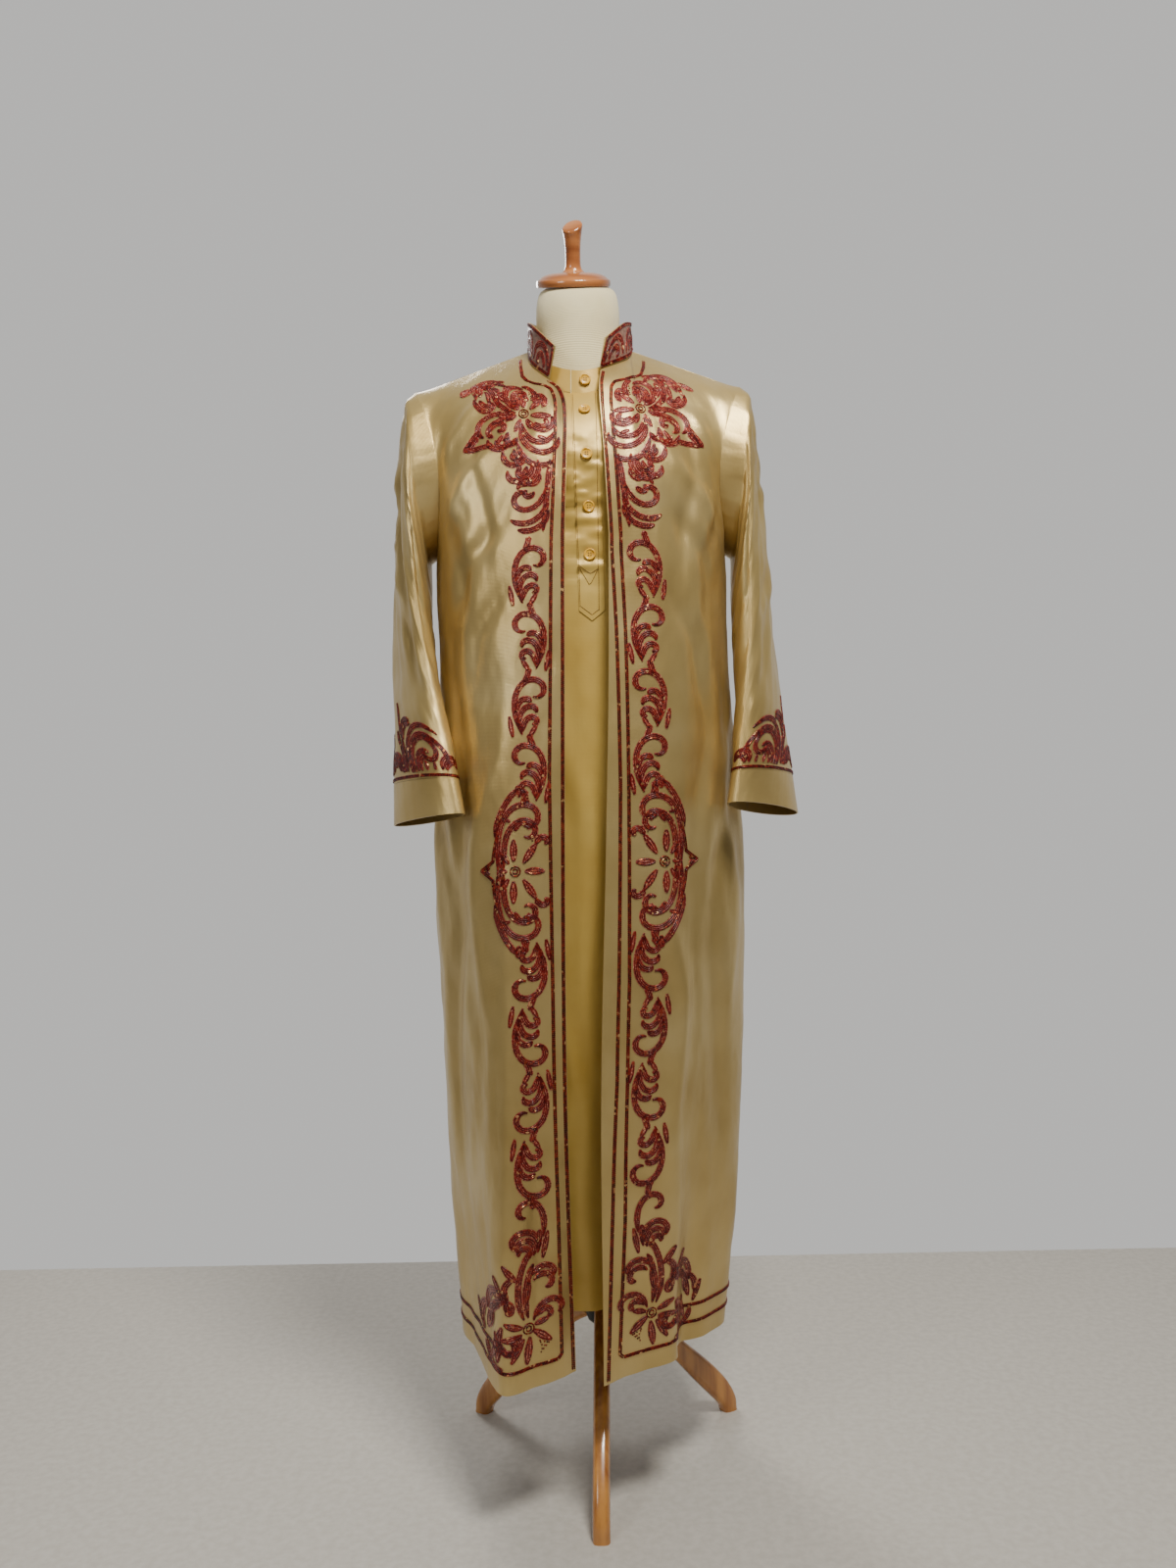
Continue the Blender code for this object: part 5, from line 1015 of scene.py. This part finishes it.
def plain_material(name, dark, light, scale, rough, metal=0.0, bump=0.2):
    """A surface that is mottled between two close colours."""
    found, tree, shader = shader_of(name, Roughness=rough, Metallic=metal)
    value = noise_of(tree, node(tree, "TexCoord").outputs["Object"], scale)
    wire(tree, shader, Base_Color=ramp(tree, value, ((0.35, dark), (0.65, light))))
    bump_of(tree, shader, (value,), bump, 0.0004)
    return found


def jersey_material():
    """A matt knit: close rows of small stitches."""
    found, tree, shader = shader_of("form_jersey", Roughness=0.85, Sheen_Weight=0.3)
    places = node(tree, "TexCoord").outputs
    flat = places["UV"]
    wire(tree, shader, Base_Color=ramp(tree, noise_of(tree, places["Object"], 14.0, 4.0), JERSEY_COLOURS))
    bump_of(tree, shader, (threads(tree, flat, 700, "X"), threads(tree, flat, 600, "Y")), 0.5, 0.0006)
    return found


def rings_object(name, rings, material, angle=50, uv=None):
    """A closed piece through rings, capped at both ends."""
    rings = np.asarray(rings, float)
    count, sides = rings.shape[:2]
    vertices = np.concatenate([rings.reshape(-1, 3), rings[:1].mean(1), rings[-1:].mean(1)])
    index = np.arange(count * sides).reshape(count, sides)
    index = np.concatenate([index, index[:, :1]], axis=1)
    faces = quads_of(index).tolist()
    faces += [[int(q), int(p), count * sides] for p, q in zip(index[0, :-1], index[0, 1:])]
    faces += [[int(p), int(q), count * sides + 1] for p, q in zip(index[-1, :-1], index[-1, 1:])]
    a, b, c = faces[len(faces) // 3][:3]
    facing = np.cross(vertices[b] - vertices[a], vertices[c] - vertices[a])
    if facing @ (vertices[a] - rings[a // sides].mean(0)) < 0:
        faces = [face[::-1] for face in faces]
    if uv is not None:
        uv = np.concatenate([uv.reshape(-1, 2), np.zeros((2, 2))])
    return mesh_object(name, vertices, faces, material, uv, angle)


def turned(name, profile, material, place=(STAND_X, STAND_Y, 0.0), sides=96, slant=0.0, lean=0.0):
    """A turned piece whose axis leans forward if asked. Its profile starts and ends on the axis."""
    angles = np.linspace(0, 2 * math.pi, sides, endpoint=False)
    length = profile[-1][1] - profile[0][1]
    rings = []
    for radius, z in profile[1:-1]:
        share = ((z - profile[0][1]) / length) ** 4
        height = z + slant * share * radius * np.cos(angles - FINIAL_SLANT_ANGLE)
        x, y = radius * np.cos(angles), radius * np.sin(angles)
        forward = y * math.cos(lean) - height * math.sin(lean)
        up = y * math.sin(lean) + height * math.cos(lean)
        rings.append(np.column_stack([x, forward, up]) + place)
    return rings_object(name, rings, material, 40)


def form_rings():
    """Rings of the padded body, which is squarer than its round neck, up to the slanted neck top."""
    table = np.asarray(FORM_RINGS)
    rows = curve_through(np.linspace(0, 1, len(table)), table, np.linspace(0, 1, 170))
    angles = np.linspace(0, 2 * math.pi, 128, endpoint=False)
    c, s = np.cos(angles), np.sin(angles)
    rings = []
    for z, half, front, back in rows:
        power = 2.4 - 0.4 * np.clip((z - 1.44) / 0.04, 0, 1)
        x = AXIS_X - 0.0015 + half * np.sign(c) * np.abs(c) ** (2 / power)
        depth = np.where(s < 0, -front, back)
        y = depth * np.sign(s) * np.abs(s) ** (2 / power)
        share = max(0.0, (z - 1.53) / (NECK_TOP[2] - 1.53))
        rings.append(np.column_stack([x, y, z + share ** 1.5 * math.tan(NECK_TILT) * y]))
    return np.array(rings)


def leg_rings(angle):
    """A sabre leg: a rounded bar swept down and out from the hub to a foot cut flat on the floor."""
    line = np.asarray(LEG_LINE)
    path = curve_through(np.linspace(0, 1, len(line)), line, np.linspace(0, 1, 70))
    tangent = np.gradient(path[:, :2], axis=0)
    tangent /= np.linalg.norm(tangent, axis=1, keepdims=True)
    tangent[0], tangent[-1] = (1.0, 0.0), (0.0, -1.0)
    out, side = np.array([math.cos(angle), math.sin(angle)]), np.array([-math.sin(angle), math.cos(angle)])
    turn = np.linspace(0, 2 * math.pi, 32, endpoint=False)
    up = np.sign(np.cos(turn)) * np.abs(np.cos(turn)) ** 0.62
    across = np.sign(np.sin(turn)) * np.abs(np.sin(turn)) ** 0.62
    rings = []
    for (radius, z, depth), (tr, tz) in zip(path, tangent):
        r = radius - tz * up * depth / 2
        flat = r[:, None] * out + (across * LEG_WIDTH / 2)[:, None] * side
        rings.append(np.column_stack([STAND_X + flat[:, 0], STAND_Y + flat[:, 1], z + tr * up * depth / 2]))
    return rings


def make_form(looks):
    rings = form_rings()
    count, sides = rings.shape[:2]
    flat = np.stack(np.meshgrid(np.linspace(0, 0.9, sides), np.linspace(0, 0.85, count)), axis=-1)
    torso = rings_object("form_body", rings, looks["jersey"], uv=flat)
    wood = looks["cap_wood"]
    cap = turned("neck_cap", CAP_PROFILE, wood, NECK_TOP, lean=NECK_TILT)
    finial = turned("neck_finial", FINIAL_PROFILE, wood, NECK_TOP, slant=FINIAL_SLANT, lean=NECK_TILT)
    pole = turned("pole_tube", POLE_PROFILE, looks["metal"])
    hub = turned("tripod_hub", HUB_PROFILE, looks["metal"])
    done = [(torso, "form_torso", "jersey"), (cap, "form_cap", "turned_wood"),
            (finial, "form_finial", "turned_wood"), (pole, "stand_pole", "stand_metal"),
            (hub, "stand_hub", "stand_metal")]
    for name, degrees in LEG_ANGLES.items():
        leg = rings_object("tripod_leg_" + name, leg_rings(math.radians(degrees)), looks["leg_wood"])
        done.append((leg, "stand_leg_" + name, "leg_wood"))
    for piece, cad, finish in done:
        settle(piece, finish, cad)


def settle(piece, finish, *nodes):
    """The piece rides with the model and stands for those solids. Its finish is not used."""
    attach(piece, "root")
    if nodes:
        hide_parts(*nodes)
    return piece


def evenly(path, step):
    """A chart path read at even steps along it."""
    path = np.asarray(path, float)
    length = run_of(path)
    at = np.linspace(0, length[-1], max(4, int(length[-1] / step) + 1))
    return np.column_stack([np.interp(at, length, path[:, 0]), np.interp(at, length, path[:, 1])])


def beside(path, distance):
    """A chart path moved sideways by a distance, one for each of its points or for all."""
    along = unit(np.gradient(path, axis=0))
    return path + np.reshape(distance, (-1, 1)) * np.column_stack([-along[:, 1], along[:, 0]])


def bead_row(build, chart, path, radius, shift=0, pitch=BEAD_PITCH, sides=5):
    """Beads on a thread that lies along a chart path. A shift of one sets them beside a row's gaps."""
    path = evenly(path, pitch / 2)
    points, out = chart.at(path[:, 0], path[:, 1])
    across = unit(np.cross(out, np.gradient(points, axis=0)))
    thick = np.where((np.arange(len(path)) + int(shift)) % 2 == 0, 1.0, WAIST_SHARE)
    thick[0] = thick[-1] = 0.2
    build.tube(points + 0.25 * radius * out, across, out, radius * thick, sides)


def small_row(builds, chart, path, shift=0):
    """A row of the small beads that scrolls, leaves and flowers are made of."""
    bead_row(builds[0], chart, path, SCROLL_BEAD, shift, SCROLL_PITCH, 4)


def ribbon(build, chart, left, right, lift=0.0005, columns=3):
    """A flat strip of satin stitches between two chart paths."""
    rings = []
    for share in np.linspace(0, 1, columns):
        path = left + share * (right - left)
        points, out = chart.at(path[:, 0], path[:, 1])
        rings.append(points + (lift + (0.0004 if share == 0.5 else 0.0)) * out)
    build.sheet(np.array(rings).transpose(1, 0, 2))


def rope(builds, chart, path):
    """A twisted-looking line of two close bead rows."""
    path = evenly(path, BEAD_PITCH / 2)
    for side in (0, 1):
        bead_row(builds[0], chart, beside(path, (side - 0.5) * ROPE_GAP), BEAD_RADIUS * 1.08, side)


def swept(u, v, heading, length, turn=0.0, curl=0.0):
    """A chart path from (u, v): its heading turns steadily, and curls up more and more towards its end."""
    count = max(8, int(length / 1.1))
    share = np.linspace(0, 1, count)
    angle = np.radians(heading + turn * share + curl * share ** 3)
    step = length / (count - 1)
    d = u + np.concatenate([[0], np.cumsum(np.cos(angle[:-1]) * step)])
    h = v + np.concatenate([[0], np.cumsum(np.sin(angle[:-1]) * step)])
    return 0.001 * np.column_stack([d, h])


def draw(builds, chart, path):
    """A scroll: three bead rows that close up at its ends, on satin stitches that show along its edges as
    pink lines, partly painted highlight.
    """
    path = evenly(path, SCROLL_PITCH / 2)
    share = np.linspace(0, 1, len(path))
    full = np.clip(1.7 * np.sin(math.pi * share ** 1.15) ** 0.7, 0.16, 1.0)
    half = ROW_GAP / 2 * full
    for side in (1, 0, -1):
        small_row(builds, chart, beside(path, side * half), side == 0)
    edge = half + STITCH_EDGE * (0.4 + 0.6 * full)
    ribbon(builds[1], chart, beside(path, edge), beside(path, -edge))


def leaf(builds, chart, u, v, heading, length, width):
    """A leaf or petal: a pointed outline of beads filled with satin stitches, whose pink is partly painted
    highlight, and a row down a wide one.
    """
    middle = swept(u, v, heading, length)
    share = np.linspace(0, 1, len(middle))
    half = 0.0005 * (width - 3.0) * np.sin(math.pi * share) ** 0.8
    for side in (1, -1):
        small_row(builds, chart, beside(middle, side * half), side > 0)
    edge = half + STITCH_EDGE * 0.8
    ribbon(builds[1], chart, beside(middle, edge), beside(middle, -edge))
    if width > 7:
        ends = len(middle) // 5
        small_row(builds, chart, middle[ends:-ends])


def placed(rows, d, h, flip_u=False, flip_v=False):
    """Stroke rows moved to a chart place, and mirrored across or up if asked."""
    out = []
    for u, v, heading, length, *bends in rows:
        turn, curl = (*bends, 0.0, 0.0)[:2]
        if flip_u:
            u, heading, turn, curl = -u, 180 - heading, -turn, -curl
        if flip_v:
            v, heading, turn, curl = -v, -heading, -turn, -curl
        out.append((u + 1000 * d, v + 1000 * h, heading, length, turn, curl))
    return out


def draw_all(builds, chart, strokes, leaves, d, h, flip_u=False, flip_v=False):
    """The scrolls and leaves of a motif about a chart place."""
    for row in placed(strokes, d, h, flip_u, flip_v):
        draw(builds, chart, swept(*row))
    rows = placed([row[:4] for row in leaves], d, h, flip_u, flip_v)
    for row, (*_, width) in zip(rows, leaves):
        leaf(builds, chart, *row[:4], width)


def flower_heart(builds, chart, d, h, dots):
    """Two bead rings in the middle of a flower, and a triangle of single beads beside it."""
    (u0, v0), (u1, v1), rows = dots
    for i in range(rows):
        for j in range(rows - i):
            u = 1000 * d + u0 + (u1 - u0) * i / rows
            v = 1000 * h + v0 + (v1 - v0) * j / rows
            small_row(builds, chart, swept(u, v, 70 * (i + j), 2.6)[::3])
    turn = np.linspace(0, 2 * math.pi, 24)
    for radius in (0.0062, 0.0030):
        small_row(builds, chart, np.column_stack([d + radius * np.cos(turn), h + radius * np.sin(turn)]))


def vine(builds, chart, start, end, down=False):
    """The running vine between two heights, leaning by turns to the front edge and away from it."""
    count = round(abs(end - start) / VINE_STEP)
    step = (end - start) / count
    for k in range(count):
        inward = k % 2 == 0
        base = VINE_MIDDLE + (-VINE_SWING if inward else VINE_SWING)
        draw_all(builds, chart, VINE_STROKES, VINE_LEAVES, base, start + k * step, inward, down)


def front_scrolls(builds, chart, side):
    """The beaded border of one front: chest, corner, medallion, and the vine between them."""
    chest_rise, waist_rise, low_rise = BORDER_RISE[side]
    chest, medal = (CHEST[0], CHEST[1] + chest_rise), (MEDAL[0], MEDAL[1] + waist_rise)
    draw_all(builds, chart, CHEST_STROKES, CHEST_LEAVES, *chest)
    flower_heart(builds, chart, *chest, CHEST_DOTS)
    draw_all(builds, chart, CORNER_STROKES, CORNER_LEAVES, *CORNER)
    flower_heart(builds, chart, *CORNER, CORNER_DOTS)
    for down in (False, True):
        draw_all(builds, chart, MEDAL_STROKES, MEDAL_LEAVES, *medal, False, down)
        for row in placed(MEDAL_LINES, *medal, False, down):
            rope(builds, chart, swept(*row))
    draw_all(builds, chart, (), MEDAL_PETALS, *medal)
    flower_heart(builds, chart, *medal, MEDAL_DOTS)
    vine(builds, chart, UPPER_VINE[0] + waist_rise, UPPER_VINE[1] + chest_rise)
    vine(builds, chart, LOWER_VINE[0] + waist_rise, LOWER_VINE[1] + low_rise, True)


def front_lines(builds, chart, seen, side, cloth):
    """The two bead lines down a front. The inner one turns along the hem, and both reach the neck."""
    h, d = np.transpose(EDGE_LINES[side])
    rope(builds, seen, np.column_stack([d, h]))
    h, d = np.transpose(INNER_LINES[side])
    corner = d[0] + 0.0045
    rope(builds, seen, [(corner, HEM_LINE), (d[0], HEM_LINE + 0.005), *np.column_stack([d[1:], h[1:]])])
    row, column = seen.locate(np.array([corner]), np.array([HEM_LINE]))
    start = np.interp(column[0], np.arange(cloth.across.shape[1]), cloth.across[int(row[0])])
    end = cloth.across[4, -1]
    rope(builds, chart, [(start, HEM_LINE), (end, HEM_LINE)])
    rope(builds, chart, [(UPPER_HEM_START, UPPER_HEM_LINE), (end, UPPER_HEM_LINE)])


def new_builds():
    """One mesh in the making for beads, and one for stitches, whose pink is partly painted highlight."""
    return Build(), Build()


def finish_beads(builds, name, looks, *nodes):
    """Pieces of the beads and stitches made so far, which stand for those solids."""
    pieces = [settle(builds[0].object(name + "_beads", looks["beads"]), "red_beads", *nodes)]
    # The stitch strips carry pink that is partly painted highlight.
    if builds[1].vertices:
        pieces.append(settle(builds[1].object(name + "_stitches", looks["fill"]), "red_beads"))
    return pieces


def sheet_of(cloth, extra=()):
    width, length = cloth.cut()
    round(cloth.area(), 4)


def make_thobe(looks):
    """The long shirt: panels, sleeves, buttoned strip, neckband and buttons."""
    front, back = thobe_cloth("front"), thobe_cloth("back")
    heights = THOBE_HEIGHTS
    hang = crease(front, heights, THOBE_FRONT_CREASES) + rumple(front, heights, *THOBE_RUMPLES["front"])
    front.push(hang + puckers(front, heights) + THOBE_RISE)
    hang = crease(back, heights, THOBE_BACK_CREASES) + rumple(back, heights, *THOBE_RUMPLES["back"])
    back.push(hang + THOBE_RISE)
    for name, cloth in (("front", front), ("back", back)):
        panel = shell("thobe_panel_" + name, cloth, looks["thobe"], "thobe_cloth", "thobe_" + name)
        sheet_of(cloth)
    steps = np.linspace(0, THOBE_SLEEVE["end"], 60)
    for side in ("right", "left"):
        sleeve = sleeve_cloth(side, steps, THOBE_ARMHOLES[side], THOBE_HIGH, True)
        tube = shell("thobe_arm_" + side, sleeve, looks["thobe"], "thobe_cloth", "thobe_sleeve_" + side)
        sheet_of(sleeve)
    placket = placket_cloth(front)
    strip = shell("placket_strip", placket, looks["thobe"], "thobe_cloth", "thobe_placket", PLACKET_CLOTH)
    sheet_of(placket, [placket_stitches(placket, looks)])
    band = band_cloth(front.points, back.points)
    neckband = shell("neckband_cloth", band, looks["thobe"], "thobe_cloth", "thobe_neckband", BAND_CLOTH)
    sheet_of(band)
    make_buttons(placket, band, looks)


def placket_stitches(placket, looks):
    """Thread along the strip's edges, its pointed end, and the bar and V sewn across it."""
    heights = placket.points[:, placket.points.shape[1] // 2, 2]
    chart = Chart(placket, heights)
    build = Build()
    wide = float(placket.across[-1, -1])
    near, far = THREAD_INSET, wide - THREAD_INSET
    left, right = BAR_INSET, wide - BAR_INSET
    low, high = float(heights[2]), float(heights[-2])
    end = low + 0.002
    paths = [[(near, high), (near, low)], [(far, high), (far, low)], [(near, end), (far, end)],
             [(left, PLACKET_BAR + 0.0015), (right, PLACKET_BAR)],
             [(left, PLACKET_BAR), (wide / 2, PLACKET_BAR - PLACKET_V), (right, PLACKET_BAR)]]
    for path in paths:
        bead_row(build, chart, path, THREAD, 0, THREAD_PITCH, 4)
    return settle(build.object("placket_thread", looks["thread"]), "thobe_cloth")


def make_buttons(placket, band, looks):
    """Five sewn buttons with four holes each, on the placket and on the band's end."""
    middle = placket.points.shape[1] // 2
    line, out = placket.points[:, middle], placket.normals[:, middle]
    for k, z in enumerate(BUTTON_Z):
        place = np.array([np.interp(z, line[:, 2], line[:, axis]) for axis in range(3)])
        normal = np.array([np.interp(z, line[:, 2], out[:, axis]) for axis in range(3)])
        make_button(k + 2, place, normal, looks)
    end, out = band.points[:, -7], band.normals[:, -7]
    make_button(1, (end[4] + end[5]) / 2, out[4], looks)


def make_button(number, place, normal, looks):
    """A turned button facing along the normal, and its four holes as flat dark discs of painted shade."""
    normal = normal / np.linalg.norm(normal)
    side = np.cross(normal, (0, 0, 1.0))
    side /= np.linalg.norm(side)
    up = np.cross(side, normal)

    def circle(middle, radius, turn):
        return middle + radius * (np.cos(turn)[:, None] * side + np.sin(turn)[:, None] * up)

    turn = np.linspace(0, 2 * math.pi, 56, endpoint=False)
    rings = [circle(place + (0.0006 + height * BUTTON_HEIGHT) * normal, radius * BUTTON_RADIUS, turn)
             for radius, height in BUTTON_PROFILE]
    disc = rings_object(f"button_{number}", rings, looks["button"], 45)
    # Each hole is a flat dark disc on the button's face: painted shade where the hole goes down.
    holes = Build()
    around = np.linspace(0, 2 * math.pi, 13)
    for angle in math.pi / 4 + np.arange(4) * math.pi / 2:
        middle = circle(place + HOLE_Z * normal, HOLE_OUT, np.array([angle]))[0]
        holes.sheet(np.array([circle(middle, share * HOLE_RADIUS, around) for share in (1.0, 0.02)]))
    settle(disc, "buttons", f"thobe_button_{number}")
    settle(holes.object(f"button_{number}_holes", looks["dark"]), "buttons")


def make_robe(looks):
    """The open robe: fronts and back with their beadwork, collar and sleeves."""
    cloths = {"right": front_cloth("right"), "left": front_cloth("left"), "back": back_cloth()}
    for k, (name, cloth) in enumerate(cloths.items()):
        side = cloth.across[:, -1:]
        depth = crease(cloth, PANEL_HEIGHTS, ROBE_CREASES[name])
        depth += rumples(cloth, PANEL_HEIGHTS, ROBE_RUMPLES, k)
        depth -= SEAM_PINCH * np.exp(-((cloth.across - side) / SEAM_REACH) ** 2)
        fade = np.clip(np.minimum(cloth.across, side - cloth.across) / 0.02, 0.1, 1)
        top = np.clip((cloth.along[-1:] - cloth.along) / 0.03, 0.05, 1)
        cloth.push(depth * fade * top)
    for side in ("right", "left"):
        make_front(side, cloths[side], looks)
    make_back(cloths["back"], looks)
    make_collar(cloths, looks)
    for side in ("right", "left"):
        make_sleeve(side, looks)


def make_front(side, front, looks):
    """A front of the robe, its bead lines and its scroll border."""
    panel = shell("satin_front_" + side, front, looks["satin"], "robe_satin", "robe_front_" + side)
    lines, scrolls = new_builds(), new_builds()
    front_lines(lines, Chart(front, PANEL_HEIGHTS), FrontChart(front, side), side, front)
    front_scrolls(scrolls, FrontChart(front, side, BORDER_SHIFT[side]), side)
    extra = finish_beads(lines, "lines_front_" + side, looks, "braid_edge_" + side, "braid_inner_" + side,
                         "braid_hem_" + side)
    extra += finish_beads(scrolls, "scrolls_front_" + side, looks, "embroidery_front_" + side)
    sheet_of(front, extra)


def make_back(back, looks):
    """The robe's back, its two hem lines and its neck line."""
    panel = shell("satin_back", back, looks["satin"], "robe_satin", "robe_back")
    chart, lines = Chart(back, PANEL_HEIGHTS), new_builds()
    for height in (HEM_LINE, UPPER_HEM_LINE):
        rope(lines, chart, [(0.0, height), (back.across[5, -1], height)])
    corners = [round(share * (BACK_COLUMNS - 1)) for share in BACK_CORNER_SHARES]
    row = int(np.searchsorted(PANEL_HEIGHTS, NECK_LINE))
    rope(lines, chart, [(back.across[row, corner], NECK_LINE) for corner in corners])
    extra = finish_beads(lines, "lines_back", looks, "braid_hem_lower_back", "braid_hem_upper_back",
                         "braid_neck_back")
    sheet_of(back, extra)


def make_collar(cloths, looks):
    """The stand collar on its stitched ground, framed with bead lines, its arcs turned to the middle."""
    collar = collar_cloth(cloths["right"].points, cloths["left"].points, cloths["back"].points)
    panel = shell("collar_satin", collar, looks["satin"], "robe_satin", "robe_collar", COLLAR_CLOTH)
    chart = Chart(collar, np.linspace(0, COLLAR_HEIGHT, COLLAR_ROWS))
    builds, ground = new_builds(), Build()
    whole = collar.across[COLLAR_ROWS // 2, -1]
    start, end = COLLAR_INSET, whole - COLLAR_INSET
    for height in (COLLAR_HIGH, COLLAR_LOW):
        rope(builds, chart, [(start, height), (end, height)])
    for d in (start, end):
        rope(builds, chart, [(d, COLLAR_LOW + LINE_HALF), (d, COLLAR_HIGH - LINE_HALF)])
    across = np.linspace(start, end, 160)
    reach = (COLLAR_LOW - LINE_HALF, COLLAR_HIGH + LINE_HALF)
    edges = [np.column_stack([across, np.full(160, height)]) for height in reach]
    ribbon(ground, chart, *edges, 0.0003, COLLAR_ROWS)
    ground = settle(ground.object("collar_ground", looks["ground"]), "red_beads")
    for d in np.linspace(COLLAR_STEP / 2, whole - COLLAR_STEP / 2, int((whole - 0.03) / COLLAR_STEP)):
        draw_all(builds, chart, COLLAR_STROKES, (), d, 0.0, d > whole / 2)
    extra = [ground, *finish_beads(builds, "collar", looks, "braid_collar")]
    sheet_of(collar, extra)


def make_sleeve(side, looks):
    """The sleeve, its plain cuff, the bead line between them and the crest above it."""
    steps = np.linspace(0, CUFF_START, 100)
    sleeve = sleeve_cloth(side, steps, ARMHOLES[side], HIGH)
    length = float(sleeve.along[-1].mean())
    heights = length * (1 - steps / CUFF_START)
    outer = sleeve.points.shape[1] // 2
    depth = crease(sleeve, heights, SLEEVE_CREASES[side], sleeve.across[:, outer : outer + 1])
    depth += rumples(sleeve, heights, SLEEVE_RUMPLES)
    around = 2 * math.pi * sleeve.across / (sleeve.across[:, -1:] + 0.004)
    ends = np.clip(heights / 0.05, 0, 1) * np.clip((length - heights) / 0.03, 0, 1)
    depth *= (0.15 + 0.85 * ends)[:, None] * np.clip(np.sin(around / 2) * 4, 0, 1)
    sleeve.push(depth)
    tube = shell("satin_sleeve_" + side, sleeve, looks["satin"], "robe_satin", "robe_sleeve_" + side)
    cuff = sleeve_cloth(side, np.linspace(CUFF_START + 0.001, 1.0, 24), ARMHOLES[side], HIGH)
    band = shell("satin_cuff_" + side, cuff, looks["satin"], "robe_satin", "robe_cuff_" + side,
                 CUFF_CLOTH, CUFF_LIFT)
    sheet_of(cuff)
    chart = Chart(sleeve, heights)
    line, crest = new_builds(), new_builds()
    rope(line, chart, [(0.0, CUFF_LINE), (sleeve.across[-6, -1], CUFF_LINE)])
    draw_all(crest, chart, CUFF_STROKES, CUFF_LEAVES, sleeve.across[-6, outer] + CREST_SHIFT, CREST_Z)
    draw_all(crest, chart, CUFF_STROKES, CUFF_LEAVES, BACK_CREST, CREST_Z, True)
    extra = finish_beads(line, "line_cuff_" + side, looks, "braid_cuff_" + side)
    extra += finish_beads(crest, "crest_cuff_" + side, looks, "embroidery_cuff_" + side)
    sheet_of(sleeve, extra)


def make_floor():
    """A pale floor whose far edge lies a little behind the stand."""
    (x0, y0), (x1, y1) = FLOOR_LOW, FLOOR_HIGH
    mesh = bpy.data.meshes.new("floor")
    mesh.from_pydata([(x0, y0, 0), (x1, y0, 0), (x1, y1, 0), (x0, y1, 0)], [], [(0, 1, 2, 3)])
    floor = bpy.data.objects.new("floor", mesh)
    bpy.context.scene.collection.objects.link(floor)
    mesh.materials.append(plain_material("floor_paint", (0.50, 0.47, 0.42),
    (0.56, 0.53, 0.48), 90.0, 0.75, 0.0, 0.3))


def make_light():
    """Soft lamps, and a backdrop that is pale behind the garment and darker before it."""
    for name, place, aim, size, watts, colour in LIGHTS:
        lamp = bpy.data.lights.new(name, "AREA")
        lamp.shape = "DISK"
        lamp.size = size
        lamp.energy = watts
        lamp.color = colour
        holder = bpy.data.objects.new(name, lamp)
        holder.location = place
        holder.rotation_euler = (Vector(aim) - Vector(place)).to_track_quat("-Z", "Y").to_euler()
        bpy.context.scene.collection.objects.link(holder)
    world = bpy.data.worlds.new("studio")
    world.use_nodes = True
    tree = world.node_tree
    split = node(tree, "SeparateXYZ", Vector=node(tree, "TexCoord").outputs["Generated"])
    colour = ramp(tree, split.outputs["Y"], BACKDROP_COLOURS)
    colour.node.color_ramp.interpolation = "EASE"
    wire(tree, tree.nodes["Background"], Color=colour, Strength=BACKDROP_STRENGTH)
    bpy.context.scene.world = world


def make_camera():
    """The camera at the photograph's place, height and slight roll."""
    camera = bpy.data.cameras.new("photo")
    camera.lens = CAMERA_LENS
    camera.sensor_width = CAMERA_SENSOR
    holder = bpy.data.objects.new("photo", camera)
    x, y, z = CAMERA_PLACE
    holder.location = (x + SHIFT[0], y + SHIFT[1], z)
    holder.rotation_euler = (math.pi / 2, CAMERA_ROLL, 0.0)
    bpy.context.scene.collection.objects.link(holder)
    bpy.context.scene.camera = holder


def make_looks():
    """All materials by short names."""
    return {
        "satin": cloth_material("champagne_satin", SATIN_COLOURS, 0.34, 0.62, 0.16, 0.70),
        "thobe": cloth_material("thobe_weave", THOBE_COLOURS, 0.40, 0.25, 0.12, 0.30),
        "beads": bead_material(),
        # Stitch strips whose pink is partly painted highlight.
        "fill": stitch_and_highlight_material(),
        "ground": plain_material("collar_pink_brown_stitch", (0.16, 0.075, 0.05),
        (0.30, 0.17, 0.12), 260.0, 0.5,
                                 0.1, 0.5),
        "jersey": jersey_material(),
        "cap_wood": wood_material("cap_varnished_wood", (0.20, 0.055, 0.015), (0.46, 0.17, 0.05), 0.22,
                                  (0.12, 0.12, 1)),
        "leg_wood": wood_material("leg_varnished_wood", (0.30, 0.10, 0.02), (0.58, 0.26, 0.06), 0.26,
                                  (1, 1, 0.12)),
        "metal": plain_material("black_metal", (0.012, 0.012, 0.013), (0.03, 0.03, 0.032), 60.0, 0.38, 0.7),
        "button": plain_material("amber_button", (0.52, 0.25, 0.015), (0.80, 0.46, 0.05), 160.0, 0.25),
        "thread": plain_material("thobe_thread", (0.17, 0.09, 0.012), (0.30, 0.17, 0.03), 300.0, 0.5),
        # Dark discs in the button holes: painted shade.
        "dark": plain_material("button_hole_painted_shade", (0.06, 0.03, 0.01), (0.10, 0.05, 0.02), 200.0, 0.7),
    }


def main():
    looks = make_looks()
    make_form(looks)
    make_thobe(looks)
    make_robe(looks)
    make_floor()
    make_light()
    make_camera()


main()
